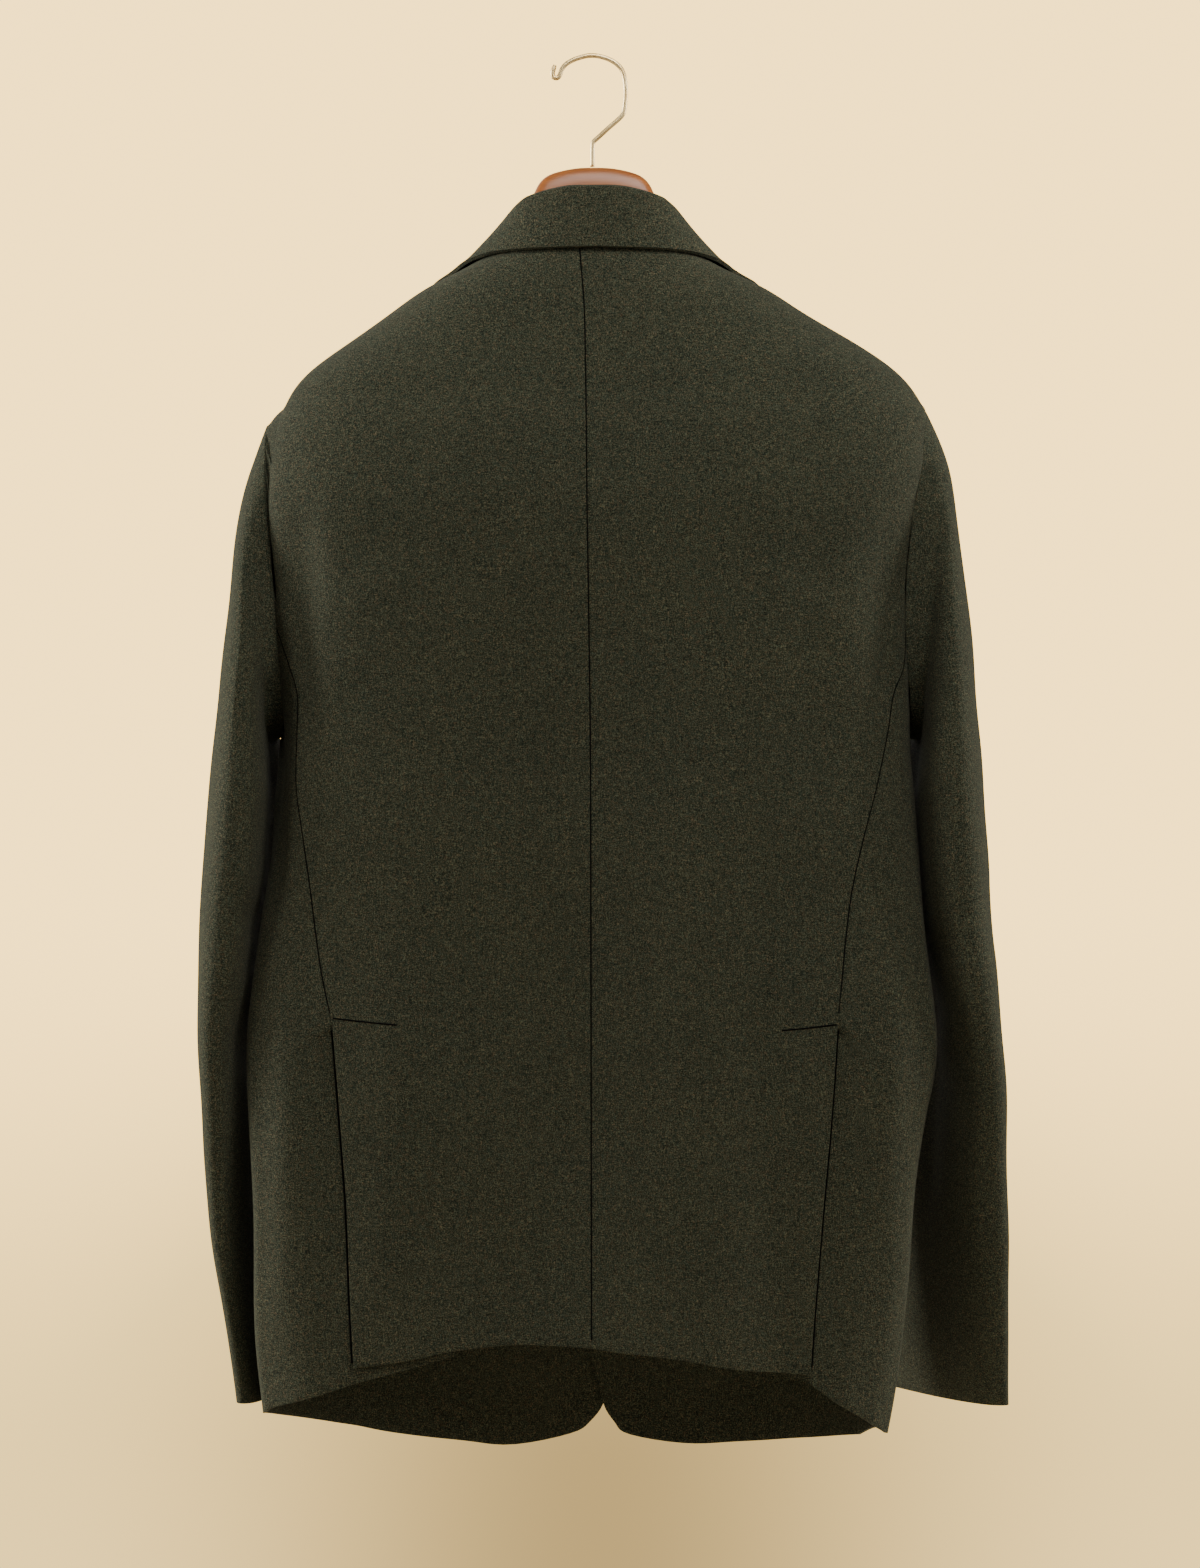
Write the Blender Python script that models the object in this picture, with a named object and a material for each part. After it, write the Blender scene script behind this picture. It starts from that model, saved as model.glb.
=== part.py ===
"""A single-breasted jacket hanging on a wooden hanger.

All sizes are in millimetres and become metres where a mesh is made. The origin is
the underside of the hook's arch, +Z is up, the front of the jacket faces -Y and
the wearer's left is +X. A height is given as a drop below the origin.
"""

import math

import bpy
import numpy as np

MM = 0.001
CLOTH = 2.5  # thickness of every cloth wall
SEAM = 0.3  # gap between neighbouring pieces
LEFT, RIGHT = 1, -1

NECK_BACK = 119  # drop of the neck seam at centre back
NECK_SIDE = 128.5  # drop of the neck seam on the shoulder
TIP = 230  # drop of the shoulder tip
ROLL_START = (60, 150)  # where the collar seam crosses the roll line: x, drop
BREAK = (-20, 520)  # foot of the lapel, past the centre line: x, drop
VENT_TOP = 636
HEM_BACK = 848
ROLL_RADIUS = 2.6  # of the folded edge of lapel and collar
LAYER_REST = 2.3  # middle of a layer that lies on the body, above its outside
UNDERLAP_DEPTH = 3.3  # how far the side panel dips under the back panel at a vent
ARMHOLE_POINTS = 28
SLEEVE_COLUMNS = 13  # places across each sleeve piece


class Table:
    """Rows of named columns, read in between along curves that never overshoot."""

    def __init__(self, columns, rows):
        values = np.array(rows, float)
        self.key = values[:, 0]
        self.columns = dict(zip(columns.split()[1:], values[:, 1:].T))
        self.slopes = {name: self._slopes(column) for name, column in self.columns.items()}

    def _slopes(self, column):
        gap = np.diff(self.key)
        rise = np.diff(column) / gap
        slopes = np.concatenate([rise[:1], np.zeros(len(column) - 2), rise[-1:]])
        for i in range(1, len(column) - 1):
            before, after = rise[i - 1], rise[i]
            if before * after > 0:
                near, far = 2 * gap[i] + gap[i - 1], gap[i] + 2 * gap[i - 1]
                slopes[i] = (near + far) / (near / before + far / after)
        return slopes

    def at(self, key, name):
        key = min(max(key, self.key[0]), self.key[-1])
        i = min(int(np.searchsorted(self.key, key, "right")) - 1, len(self.key) - 2)
        gap = self.key[i + 1] - self.key[i]
        t = (key - self.key[i]) / gap
        low, high = self.columns[name][i : i + 2]
        slope_low, slope_high = self.slopes[name][i : i + 2]
        return (
            (1 + 2 * t) * (1 - t) ** 2 * low
            + t * (1 - t) ** 2 * gap * slope_low
            + t * t * (3 - 2 * t) * high
            - t * t * (1 - t) * gap * slope_high
        )


# The body's level sections: half widths, the depth of the widest point, the reach
# behind and in front of it, and how square the section is (2 is an ellipse).
BODY = Table(
    "drop left right middle back front square",
    [
        (112, 54, 54, 0, 36, 37, 2.1),
        (128.5, 70, 70, 0, 40, 42, 2.2),
        (144, 91, 91, -1, 46, 47, 2.25),
        (152, 108.5, 110.5, -2, 49, 51, 2.3),
        (165, 128, 131.5, -4, 55, 54, 2.35),
        (187.5, 159.7, 170, -7, 63, 59, 2.45),
        (200, 178, 190, -8, 67, 61, 2.5),
        (214, 195, 207, -9, 71, 63, 2.6),
        (229, 204.6, 217.6, -10, 75, 65, 2.7),
        (240, 210, 222.5, -10, 78, 66, 2.8),
        (262, 216.5, 222.5, -10, 82, 68, 2.9),
        (300, 220, 216.5, -9, 85, 72, 3.1),
        (350, 216.5, 212, -8, 85, 76, 3.1),
        (405, 212, 210, -4, 82, 80, 3.1),
        (455, 210.5, 210, 0, 78, 86, 3.0),
        (500, 213, 212.5, 8, 71, 94, 2.9),
        (560, 218, 217, 18, 61, 104, 2.8),
        (586, 221.3, 218.7, 22, 57, 109, 2.8),
        (640, 227.5, 225.3, 29, 51, 118, 2.8),
        (667, 228.5, 225, 32, 49, 121, 2.8),
        (700, 227, 218.5, 34, 48, 124, 2.8),
        (760, 224, 209.5, 36, 47, 128, 2.8),
        (833, 222.3, 202.3, 36, 49, 129, 2.8),
        (870, 220.4, 199, 36, 50, 130, 2.8),
        (900, 217.5, 194, 36, 50, 131, 2.8),
        (940, 213, 188, 36, 50, 131, 2.8),
    ],
)

# The largest soft folds: the way they face, where they run, and how proud they stand.
FOLDS = [
    # rear  x at top  x at foot  half width  top  foot  height
    (True, 194, 190, 13, 270, 480, -5.0),
    (True, 208, 210, 8, 380, 590, -5.0),
    (True, -196, -186, 14, 290, 470, -3.5),
    (True, 22, 32, 30, 480, 900, -4.5),
    (True, 34, 30, 58, 260, 960, -4.5),
    (True, -48, -58, 38, 470, 960, 5.0),
    (True, -70, -78, 28, 380, 960, 3.5),
    (True, 96, 104, 34, 560, 960, 2.5),
    (True, -128, -118, 18, 680, 960, -3.5),
    (True, 60, 40, 40, 180, 420, 2.0),
    (False, 120, 110, 30, 300, 700, 3.5),
    (False, -126, -108, 30, 320, 760, 3.5),
    (False, 70, 84, 26, 560, 960, -3.0),
    (False, -74, -88, 26, 600, 960, -3.0),
]

# The sewn line between back and side panel, as distances from the centre.
SIDE_BACK = Table(
    "drop left right",
    [
        (405, 203, 205),
        (422, 197.7, 199.4),
        (450, 196.2, 192.9),
        (476, 195.6, 187),
        (500, 192.6, 180.5),
        (529, 188.3, 173),
        (565, 183.4, 166),
        (600, 178.5, 162.5),
        (643, 169.8, 158.3),
        (694, 165.6, 155.3),
        (760, 160.5, 149.5),
        (833, 157.4, 143),
        (870, 155.5, 140.5),
    ],
)
SIDE_BACK_DROPS = [405, 425, 450, 483, 516, 550, 582, 610, VENT_TOP, 643, 680, 716, 752, 790, 828]
SIDE_SEAM_FOOT = {LEFT: 861.5, RIGHT: 866}  # drop of its lower end on the back panel
SIDE_FRONT = Table(
    "drop left right",
    [(420, 203, 201), (480, 196, 193), (560, 190, 186), (700, 184, 181), (920, 179, 179)],
)
# The vent's underlap on the side panel: width at the top and the foot, slope of its hem.
UNDERLAP = {LEFT: (43, 66, 0.29), RIGHT: (41, 40, 0.45)}
CENTRE_BACK = Table("drop x", [(119, 10), (146, 8.1), (171, 6.1), (298, 4.3), (480, 2), (850, 1.3)])
BACK_HEM = {
    LEFT: Table(
        "x drop",
        [(0, 848), (27, 846.5), (48, 845.6), (73, 847.4), (96, 850.7), (120, 856), (156, 861.5)],
    ),
    RIGHT: Table("x drop", [(0, 849), (30, 851.8), (54, 854.2), (77, 858.6), (100, 862.2), (141, 866)]),
}
SIDE_HEM = {  # by the angle round the body
    LEFT: Table(
        "angle drop",
        [(20, 853), (38, 872), (54, 883), (72, 890), (90, 897), (110, 906), (131, 915)],
    ),
    RIGHT: Table(
        "angle drop",
        [(20, 862), (38, 872), (44, 881), (54, 891), (73, 904), (110, 914), (131, 920)],
    ),
}
# The front edge from the lapel's foot to the round corner, then the hem out to the side.
FRONT_EDGE = {
    LEFT: Table(
        "drop x",
        [(520, -20), (700, -20), (800, -18), (870, -14), (905, -8), (921, 4), (928, 16.5)],
    ),
    RIGHT: Table(
        "drop x",
        [(520, -20), (700, -20), (800, -11), (870, -2.5), (897, 4.4), (911, 9), (921, 17), (928, 28)],
    ),
}
FRONT_HEM = {
    LEFT: Table(
        "x drop",
        [
            (16.5, 928), (31, 933), (43, 935.5), (65, 934.5), (90, 932),
            (114, 929), (139, 925), (162, 919), (179, 915),
        ],
    ),
    RIGHT: Table(
        "x drop",
        [
            (28, 928), (34, 930), (45, 932.7), (57, 933.7), (82, 933),
            (106, 931.7), (130, 929), (154, 925.7), (179, 920),
        ],
    ),
}
NECK = Table(
    "angle drop",
    [(0, NECK_BACK), (9.5, NECK_BACK), (45, 123.5), (90, NECK_SIDE), (115, 133.5), (136, 143), (140, 150)],
)
ARMHOLE = [  # angle, drop: from the shoulder tip down the back and up the front
    (90, TIP), (82, 237), (77.5, 249), (75, 268), (73.8, 295), (73.8, 325), (74.6, 355), (76.5, 385),
    (80, 412), (85.5, 437), (93, 452), (101, 452), (107.5, 438), (112.5, 415), (117, 385),
    (120, 350), (120.5, 315), (118, 282), (112.5, 261), (104, 245), (96.5, 236),
]
LAPEL_EDGE = Table(
    "drop x",
    [(201, 131), (235, 125), (290, 112), (348, 90), (400, 62), (455, 30), (492, 5), (520, -20)],
)
GORGE_END = (92, 180)
LAPEL_TIP = (131, 201)
COLLAR_TIP = (107, 160)
COLLAR_END_RISE = 2.2  # how far the collar's end is moved up the roll line, off the lapel
COLLAR_TIP_RISE = 2.4  # how far the collar's tip stands above a layer at rest
LAPEL_FOOT_REACH = {LEFT: 7.0, RIGHT: 3.0}  # of the lapel's foot, where it starts to turn over
RIGHT_LAPEL_RISE = 1.9  # spare height of the right lapel, which lies in the sunk front
RIGHT_SINK = 12.6  # how deep the right front lies under the left one beside the lapels
RIGHT_SINK_LESS = 8.0  # how much less that is below the lapels
# The collar: height of its stand, the way the stand leans, and its outer edge on the body.
COLLAR = Table(
    "angle stand side forward up edge_angle edge_drop",
    [
        (0, 26, 0, 0.15, 1, 0, 131.2),
        (45, 27, -0.28, 0.14, 1, 32, 132.3),
        (65, 26, -0.5, 0.05, 0.88, 57, 134),
        (90, 19, -0.72, 0.05, 0.85, 86, 141),
        (105, 13, -0.8, 0, 0.75, 98, 147.5),
        (120, 8, -0.82, -0.1, 0.6, 107, 153),
        (140, 0, -0.9, -0.42, 0.25, 116, 160),
    ],
)
# Sleeve sections: outline seen from behind on the outer and inner side, the reach to
# the back and the front, how far the rear end turns away from the body, and how much
# the inner side slants in towards the front.
SLEEVE = {
    LEFT: Table(
        "step out_x out_drop in_x in_drop rear front turn slant",
        [
            (1, 217.5, 245, 215, 454, 31, -61, 0, 3),
            (2, 230, 276, 215.2, 457.5, 36, -68, 0, 4),
            (3, 238, 311, 215.4, 462, 42, -76, -1, 7),
            (4, 244.5, 368, 215.6, 469, 49, -84, -2, 12),
            (5, 251, 424, 215.8, 480, 55, -91, -3, 16),
            (6, 256.5, 475, 215.5, 497, 59, -95, -3.5, 18),
            (7, 261.3, 535, 218.5, 541, 61, -97, -3, 18),
            (8, 262.4, 585, 223, 586, 60, -97, 0, 14),
            (9, 261.5, 645, 228.5, 645, 56, -96, 4, 6),
            (10, 258.3, 705, 227, 705, 46, -96, 6, 2),
            (11, 254.5, 761, 223, 761, 35, -98, 9, 0),
            (12, 248, 813, 217.5, 813, 26, -103, 10, 0),
            (13, 242.4, 850, 212.5, 850, 20, -108, 10, 0),
            (14, 237, 893, 207, 893, 14, -116, 10, 0),
        ],
    ),
    RIGHT: Table(
        "step out_x out_drop in_x in_drop rear front turn slant",
        [
            (1, 227, 245, 214.6, 454, 31, -61, 0, 3),
            (2, 237, 272, 214.8, 457.5, 36, -68, 0, 4),
            (3, 242.5, 308, 214.8, 462, 42, -76, 0, 7),
            (4, 249.5, 366, 214.8, 469, 49, -84, -1, 12),
            (5, 255, 420, 214.8, 480, 55, -90, -2, 16),
            (6, 258.7, 472, 214.5, 497, 58, -93, -2, 18),
            (7, 262.8, 522, 216, 532, 59, -95, -1, 18),
            (8, 264.3, 581, 219.5, 583, 57, -96, 2, 14),
            (9, 269, 645, 226, 645, 50, -100, 8, 6),
            (10, 271.5, 705, 220, 705, 38, -106, 15, 2),
            (11, 272.6, 762, 211.5, 762, 24, -113, 21, 0),
            (12, 274, 815, 207, 815, 11, -121, 27, 0),
            (13, 274, 855, 204, 855, 1, -127, 30, 0),
            (14, 275.5, 898, 202, 898, -13, -138, 33, 0),
        ],
    ),
}
HIND_SEAM = Table("step point", [(0, 4.4), (1, 3.6), (2, 2.7), (3, 2.1), (5, 2.0), (9, 3.0), (14, 3.4)])
FORE_SEAM_POINT = 18  # the seam along the front and inner side of a sleeve
BUTTON_DROPS = {"button_upper": 532, "button_lower": 628}
BUTTON_LIFT = 0.9  # gap between cloth and button
BUTTON_PROFILE = [  # radius, height
    (7.2, 0), (9.4, 0.5), (10, 1.5), (9.6, 2.8), (8.6, 3.4), (7.6, 3.0), (6.8, 2.6),
]

COLOURS = {  # name: colour, roughness, metallic
    "cloth": ((0.036, 0.035, 0.020), 0.95, 0.0),
    "horn": ((0.030, 0.022, 0.014), 0.35, 0.0),
    "wood": ((0.43, 0.24, 0.13), 0.45, 0.0),
    "brass": ((0.75, 0.53, 0.22), 0.25, 1.0),
}


def fade(value):
    """0 below 0, 1 above 1 and a smooth step between."""
    value = min(max(value, 0.0), 1.0)
    return value * value * (3 - 2 * value)


def unit(vector):
    return vector / np.linalg.norm(vector)


def side_name(side):
    return "left" if side == LEFT else "right"


# ---- the body's surface ------------------------------------------------------


def plain_body(angle, drop):
    """Outside of the body without folds. Angle 0 is centre back, 90 the left side."""
    turn = math.radians(angle)
    sine, cosine = math.sin(turn), math.cos(turn)
    width = BODY.at(drop, "left" if sine >= 0 else "right")
    reach = BODY.at(drop, "back" if cosine >= 0 else "front")
    power = 2 / BODY.at(drop, "square")
    x = math.copysign(width * abs(sine) ** power, sine)
    y = BODY.at(drop, "middle") + math.copysign(reach * abs(cosine) ** power, cosine)
    return np.array([x, y, -drop])


def plain_normal(angle, drop, step=1.5):
    across = plain_body(angle + step, drop) - plain_body(angle - step, drop)
    down = plain_body(angle, drop + 2) - plain_body(angle, drop - 2)
    return unit(np.cross(across, down))


def fold_height(x, drop, rear):
    height = 0.0
    for faces_rear, x_top, x_foot, half_width, top, foot, rise in FOLDS:
        if faces_rear != rear or not top < drop < foot:
            continue
        along = (drop - top) / (foot - top)
        ends = fade(along / 0.35) * fade((1 - along) / 0.35) if foot < HEM_BACK + 60 else fade(along / 0.35)
        off = (x - (x_top + (x_foot - x_top) * along)) / half_width
        height += rise * ends * math.exp(-off * off)
    return height


def body(angle, drop):
    point = plain_body(angle, drop)
    rise = fold_height(point[0], drop, math.cos(math.radians(angle)) > 0)
    return point + rise * plain_normal(angle, drop) if rise else point


def body_normal(angle, drop):
    across = body(angle + 1.5, drop) - body(angle - 1.5, drop)
    down = body(angle, drop + 3) - body(angle, drop - 3)
    return unit(np.cross(across, down))


def angle_at(x, drop, front=False):
    width = BODY.at(drop, "left" if x >= 0 else "right")
    sine = min(abs(x) / width, 1.0) ** (BODY.at(drop, "square") / 2)
    angle = math.degrees(math.asin(sine))
    return math.copysign(180 - angle if front else angle, x)


def front_angle(x, drop):
    """The angle of a point near the centre front, past which it runs on beyond 180."""
    sine = (abs(x) / BODY.at(drop, "left")) ** (BODY.at(drop, "square") / 2)
    return 180 - math.copysign(math.degrees(math.asin(sine)), x)


# ---- walls --------------------------------------------------------------------


class Sheet:
    """A cloth surface with its two faces, which becomes one closed wall."""

    def __init__(self):
        self.found = {}
        self.outer = []
        self.inner = []
        self.faces = []

    def corner(self, outer, inner):
        key = tuple(np.round(outer, 3)) + tuple(np.round(inner, 3))
        if key not in self.found:
            self.found[key] = len(self.outer)
            self.outer.append(outer)
            self.inner.append(inner)
        return self.found[key]

    def grid(self, rows):
        """rows: lists of (outer, inner) points, each row as long as the next."""
        ids = [[self.corner(outer, inner) for outer, inner in row] for row in rows]
        for upper, lower in zip(ids, ids[1:]):
            for j in range(len(upper) - 1):
                ring = [upper[j], upper[j + 1], lower[j + 1], lower[j]]
                face = [v for k, v in enumerate(ring) if v != ring[k - 1]]
                if len(set(face)) >= 3:
                    self.faces.append(face)

    def solid(self, name, finish):
        count = len(self.outer)
        edges = {(a, b) for face in self.faces for a, b in zip(face, face[1:] + face[:1])}
        faces = [list(face) for face in self.faces]
        faces += [[face[0] + count] + [v + count for v in reversed(face[1:])] for face in self.faces]
        for a, b in sorted(edges):
            if (b, a) not in edges:
                # neighbouring pieces split their facing edges the same way
                if self.outer[a][2] > self.outer[b][2]:
                    faces += [[b, a, b + count], [a, a + count, b + count]]
                else:
                    faces += [[b, a, a + count], [b, a + count, b + count]]
        return mesh_object(name, self.outer + self.inner, faces, finish)


def mesh_object(name, points, faces, finish):
    points = np.array(points)
    volume = 0.0
    for face in faces:
        for k in range(1, len(face) - 1):
            a, b, c = points[face[0]], points[face[k]], points[face[k + 1]]
            volume += float(np.dot(a, np.cross(b, c)))
    if volume < 0:
        faces = [list(reversed(face)) for face in faces]
    if len(faces[0]) < 5:
        faces = [[face[0], face[k], face[k + 1]] for face in faces for k in range(1, len(face) - 1)]
    mesh = bpy.data.meshes.new(name)
    mesh.from_pydata((points * MM).tolist(), [], faces)
    mesh.materials.append(material(finish))
    mesh.shade_smooth()
    mesh.set_sharp_from_angle(angle=math.radians(40))
    obj = bpy.data.objects.new(name, mesh)
    bpy.context.scene.collection.objects.link(obj)
    return obj


def material(finish):
    if finish in bpy.data.materials:
        return bpy.data.materials[finish]
    colour, roughness, metallic = COLOURS[finish]
    made = bpy.data.materials.new(finish)
    made.use_nodes = True
    shader = made.node_tree.nodes["Principled BSDF"]
    shader.inputs["Base Color"].default_value = (*colour, 1)
    shader.inputs["Roughness"].default_value = roughness
    shader.inputs["Metallic"].default_value = metallic
    return made


def on_body(place, sink=0.0):
    """Both faces of the cloth at a place (angle, drop), sunk below the outside."""
    point, normal = body(*place), body_normal(*place)
    return point - sink * normal, point - (sink + CLOTH) * normal


def blend_edges(left, right, top, bottom, across):
    """The places inside four edges of places, with the given shares across."""
    rows = len(left)
    left, right, top, bottom = (np.array(edge, float) for edge in (left, right, top, bottom))
    top[0], top[-1], bottom[0], bottom[-1] = left[0], right[0], left[-1], right[-1]
    drops = (left[:, 1] - left[0, 1]) / (left[-1, 1] - left[0, 1])
    places = []
    for i in range(rows):
        down = drops[i]
        row = []
        for j, share in enumerate(across):
            sides = (1 - share) * left[i] + share * right[i]
            ends = (1 - down) * top[j] + down * bottom[j]
            corners = (1 - down) * ((1 - share) * left[0] + share * right[0])
            corners = corners + down * ((1 - share) * left[-1] + share * right[-1])
            row.append(sides + ends - corners)
        places.append(row)
    return places


def seam_gap(edge, inward, gap=SEAM / 2):
    """A place on an edge, moved along the body towards its neighbour by the gap."""
    start, low, high = body(*edge), 0.0, 0.5
    for _ in range(24):
        share = (low + high) / 2
        near = np.linalg.norm(body(*(edge + share * (inward - edge))) - start) < gap
        low, high = (share, high) if near else (low, share)
    return edge + low * (inward - edge)


def open_seams(places, first_column, last_column, first_row):
    if first_row:
        places[0] = [seam_gap(a, b) for a, b in zip(places[0], places[1])]
    for row in places:
        if first_column:
            row[0] = seam_gap(row[0], row[1])
        if last_column:
            row[-1] = seam_gap(row[-1], row[-2])
    return places


def armhole(side):
    """Places evenly spaced round the armhole, from the shoulder tip down the back."""
    knots = [np.array(knot, float) for knot in ARMHOLE]
    dense = []
    for i in range(len(knots)):
        a, b, c, d = (knots[(i + k) % len(knots)] for k in (-1, 0, 1, 2))
        for t in np.linspace(0, 1, 16, endpoint=False):
            curve = (c - a) * t + (2 * a - 5 * b + 4 * c - d) * t**2 + (3 * b - a - 3 * c + d) * t**3
            dense.append(b + curve / 2)
    dense.append(dense[0])
    dense = [np.array([side * angle, drop]) for angle, drop in dense]
    points = [body(*place) for place in dense]
    steps = [np.linalg.norm(b - a) for a, b in zip(points, points[1:])]
    along = np.concatenate([[0], np.cumsum(steps)])
    wanted = np.linspace(0, along[-1], ARMHOLE_POINTS, endpoint=False)
    columns = [np.interp(wanted, along, [place[k] for place in dense]) for k in (0, 1)]
    return [np.array(place) for place in zip(*columns)]


def armhole_split(loop):
    """The points of the armhole where the side panel's two seams end."""
    half = ARMHOLE_POINTS // 2
    rear = min(range(4, half), key=lambda k: abs(loop[k][1] - 384))
    fore = min(range(half, ARMHOLE_POINTS - 4), key=lambda k: abs(loop[k][1] - 418))
    return rear, fore


# ---- body panels ---------------------------------------------------------------

SHOULDER_DROPS = [NECK_SIDE, 140, 154, 170, 188, 205, 219, TIP]
BACK_COLUMNS = [0, 0.05, 0.12, 0.21, 0.31, 0.41, 0.51, 0.61, 0.71, 0.81, 0.91, 1.0]
FRONT_COLUMNS = [0, 0.08, 0.18, 0.3, 0.44, 0.58, 0.72, 0.86, 1.0]


def side_back_edge(side, loop, rear):
    """The seam between back and side panel, from the armhole to the hem."""
    edge = [loop[rear]]
    for drop in SIDE_BACK_DROPS:
        edge.append(np.array([angle_at(side * SIDE_BACK.at(drop, side_name(side)), drop), drop]))
    foot = SIDE_SEAM_FOOT[side]
    edge.append(np.array([angle_at(side * SIDE_BACK.at(foot, side_name(side)), foot), foot]))
    return edge


def side_front_edge(side, loop, rear, fore):
    """The seam between side panel and front, with as many places as the other seam."""
    start, foot = loop[fore][1], SIDE_HEM[side].at(131, "drop")
    upper, lower = loop[rear][1], SIDE_SEAM_FOOT[LEFT]
    edge = [loop[fore]]
    for drop in SIDE_BACK_DROPS + [lower]:
        at = start + (drop - upper) / (lower - upper) * (foot - start)
        blend = fade((at - start) / 60)
        angle = angle_at(side * SIDE_FRONT.at(at, side_name(side)), at, front=True)
        edge.append(np.array([angle * blend + loop[fore][0] * (1 - blend), at]))
    return edge


def make_back(side, loop, rear):
    shoulder = [np.array([side * 90.0, drop]) for drop in SHOULDER_DROPS]
    edge = shoulder + loop[1:rear] + side_back_edge(side, loop, rear)
    foot = edge[-1][1]
    centre = []
    for place in edge:
        share = (place[1] - NECK_SIDE) / (foot - NECK_SIDE)
        drop = NECK_BACK + share * (HEM_BACK - NECK_BACK)
        centre.append(np.array([angle_at(CENTRE_BACK.at(drop, "x"), drop), drop]))
    top, bottom = [], []
    for share in BACK_COLUMNS:
        angle = centre[0][0] + share * (side * 90 - centre[0][0])
        top.append(np.array([angle, NECK.at(abs(angle), "drop")]))
        angle = centre[-1][0] + share * (edge[-1][0] - centre[-1][0])
        across = abs(body(angle, foot)[0])
        bottom.append(np.array([angle, BACK_HEM[side].at(across, "drop")]))
    places = blend_edges(centre, edge, top, bottom, BACK_COLUMNS)
    places = open_seams(places, True, True, True)
    sheet = Sheet()
    sheet.grid([[on_body(place) for place in row] for row in places])
    sheet.solid(f"back_{side_name(side)}", "cloth")


def make_side(side, loop, rear, fore):
    left = side_back_edge(side, loop, rear)
    right = side_front_edge(side, loop, rear, fore)
    arc = loop[rear : fore + 1]
    across = np.linspace(0, 1, len(arc))
    foot = left[-1][0]
    left[-1] = np.array([foot, SIDE_HEM[side].at(abs(foot), "drop")])
    bottom = []
    for share in across:
        angle = foot + share * (right[-1][0] - foot)
        bottom.append(np.array([angle, SIDE_HEM[side].at(abs(angle), "drop")]))
    places = blend_edges(left, right, arc, bottom, across)
    places = open_seams(places, True, True, True)
    vent_row = SIDE_BACK_DROPS.index(VENT_TOP) + 2
    rows = []
    for i, row in enumerate(places):
        sink = UNDERLAP_DEPTH if i >= vent_row else 0.0
        rows.append([on_body(place, sink if j == 0 else 0.0) for j, place in enumerate(row)])
    sheet = Sheet()
    sheet.grid(rows)
    width_top, width_foot, slope = UNDERLAP[side]
    lap = []
    for i in range(vent_row, len(places)):
        angle, drop = places[i][0]
        share = (i - vent_row) / (len(places) - 1 - vent_row)
        width = width_top + (width_foot - width_top) * share
        seam_x = abs(body(angle, drop)[0])
        row = []
        for part in (1.0, 0.6, 0.25, 0.0):
            at = drop - (part * slope * width if i == len(places) - 1 else 0)
            inside = angle if part == 0 else angle_at(side * (seam_x - part * width), at)
            row.append(on_body((inside, at), UNDERLAP_DEPTH))
        lap.append(row)
    sheet.grid(lap)
    sheet.solid(f"side_{side_name(side)}", "cloth")


def front_sink(side, x, drop):
    """How far the right front lies below the body's outside, under the left one."""
    if side == LEFT:
        return 0.0
    deep = RIGHT_SINK * fade((drop - 270) / 130) - RIGHT_SINK_LESS * fade((drop - 525) / 60)
    return deep * fade((x + 125) / 100)


def on_front(side, place, raise_by=0.0):
    """The middle of the front's wall at a place, and its normal."""
    point, normal = body(*place), body_normal(*place)
    return point - (front_sink(side, point[0], place[1]) + CLOTH / 2 - raise_by) * normal, normal


def faces_of(middle, normal):
    return middle + CLOTH / 2 * normal, middle - CLOTH / 2 * normal


def place_of(side, x, drop):
    """A front place from its distance past the centre towards its own side."""
    angle = front_angle(x, drop)
    return np.array([side * angle, drop])


def layer_rise(share):
    """Height of a folded layer's middle over the wall's middle below it."""
    return 2 * ROLL_RADIUS + (LAYER_REST + CLOTH / 2 - 2 * ROLL_RADIUS) * fade(share)


def roll_x(drop):
    share = (drop - ROLL_START[1]) / (BREAK[1] - ROLL_START[1])
    return ROLL_START[0] + share * (BREAK[0] - ROLL_START[0])


def roll_frame(side, normal):
    """The way across the roll line, towards the jacket's side, level with the cloth."""
    slope = unit(np.array([ROLL_START[0] - BREAK[0], 0, BREAK[1] - ROLL_START[1]]))
    away = np.array([side * slope[2], 0, -slope[0]])
    return unit(away - np.dot(away, normal) * normal)


def roll_over(middle, normal, level, swing, count=5):
    """The folded edge: from lying on the panel's own wall to turned by the swing."""
    row = []
    for k in range(count + 1):
        turn = swing * k / count
        point = middle - ROLL_RADIUS * math.sin(turn) * level
        point = point + ROLL_RADIUS * (1 - math.cos(turn)) * normal
        row.append((point, math.cos(turn) * normal + math.sin(turn) * level))
    return row


def lapel_top(along):
    """A place on the lapel's upper edge: along the gorge, then out to the tip."""
    start, bend, tip = (np.array(knot, float) for knot in (ROLL_START, GORGE_END, LAPEL_TIP))
    gorge = np.linalg.norm(bend - start)
    if along < gorge:
        return start + (bend - start) * along / gorge
    return bend + (tip - bend) * (along - gorge) / np.linalg.norm(tip - bend)


GORGE_LENGTH = math.dist(ROLL_START, GORGE_END)
TOP_LENGTH = GORGE_LENGTH + math.dist(GORGE_END, LAPEL_TIP)
LAPEL_PARTS = [0.16, 0.33, GORGE_LENGTH / TOP_LENGTH, 0.75, 1.0]
SWINGS = {0: 0, 1: 75, 2: 130}  # of the last rows, counted from the lapel's foot


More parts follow.
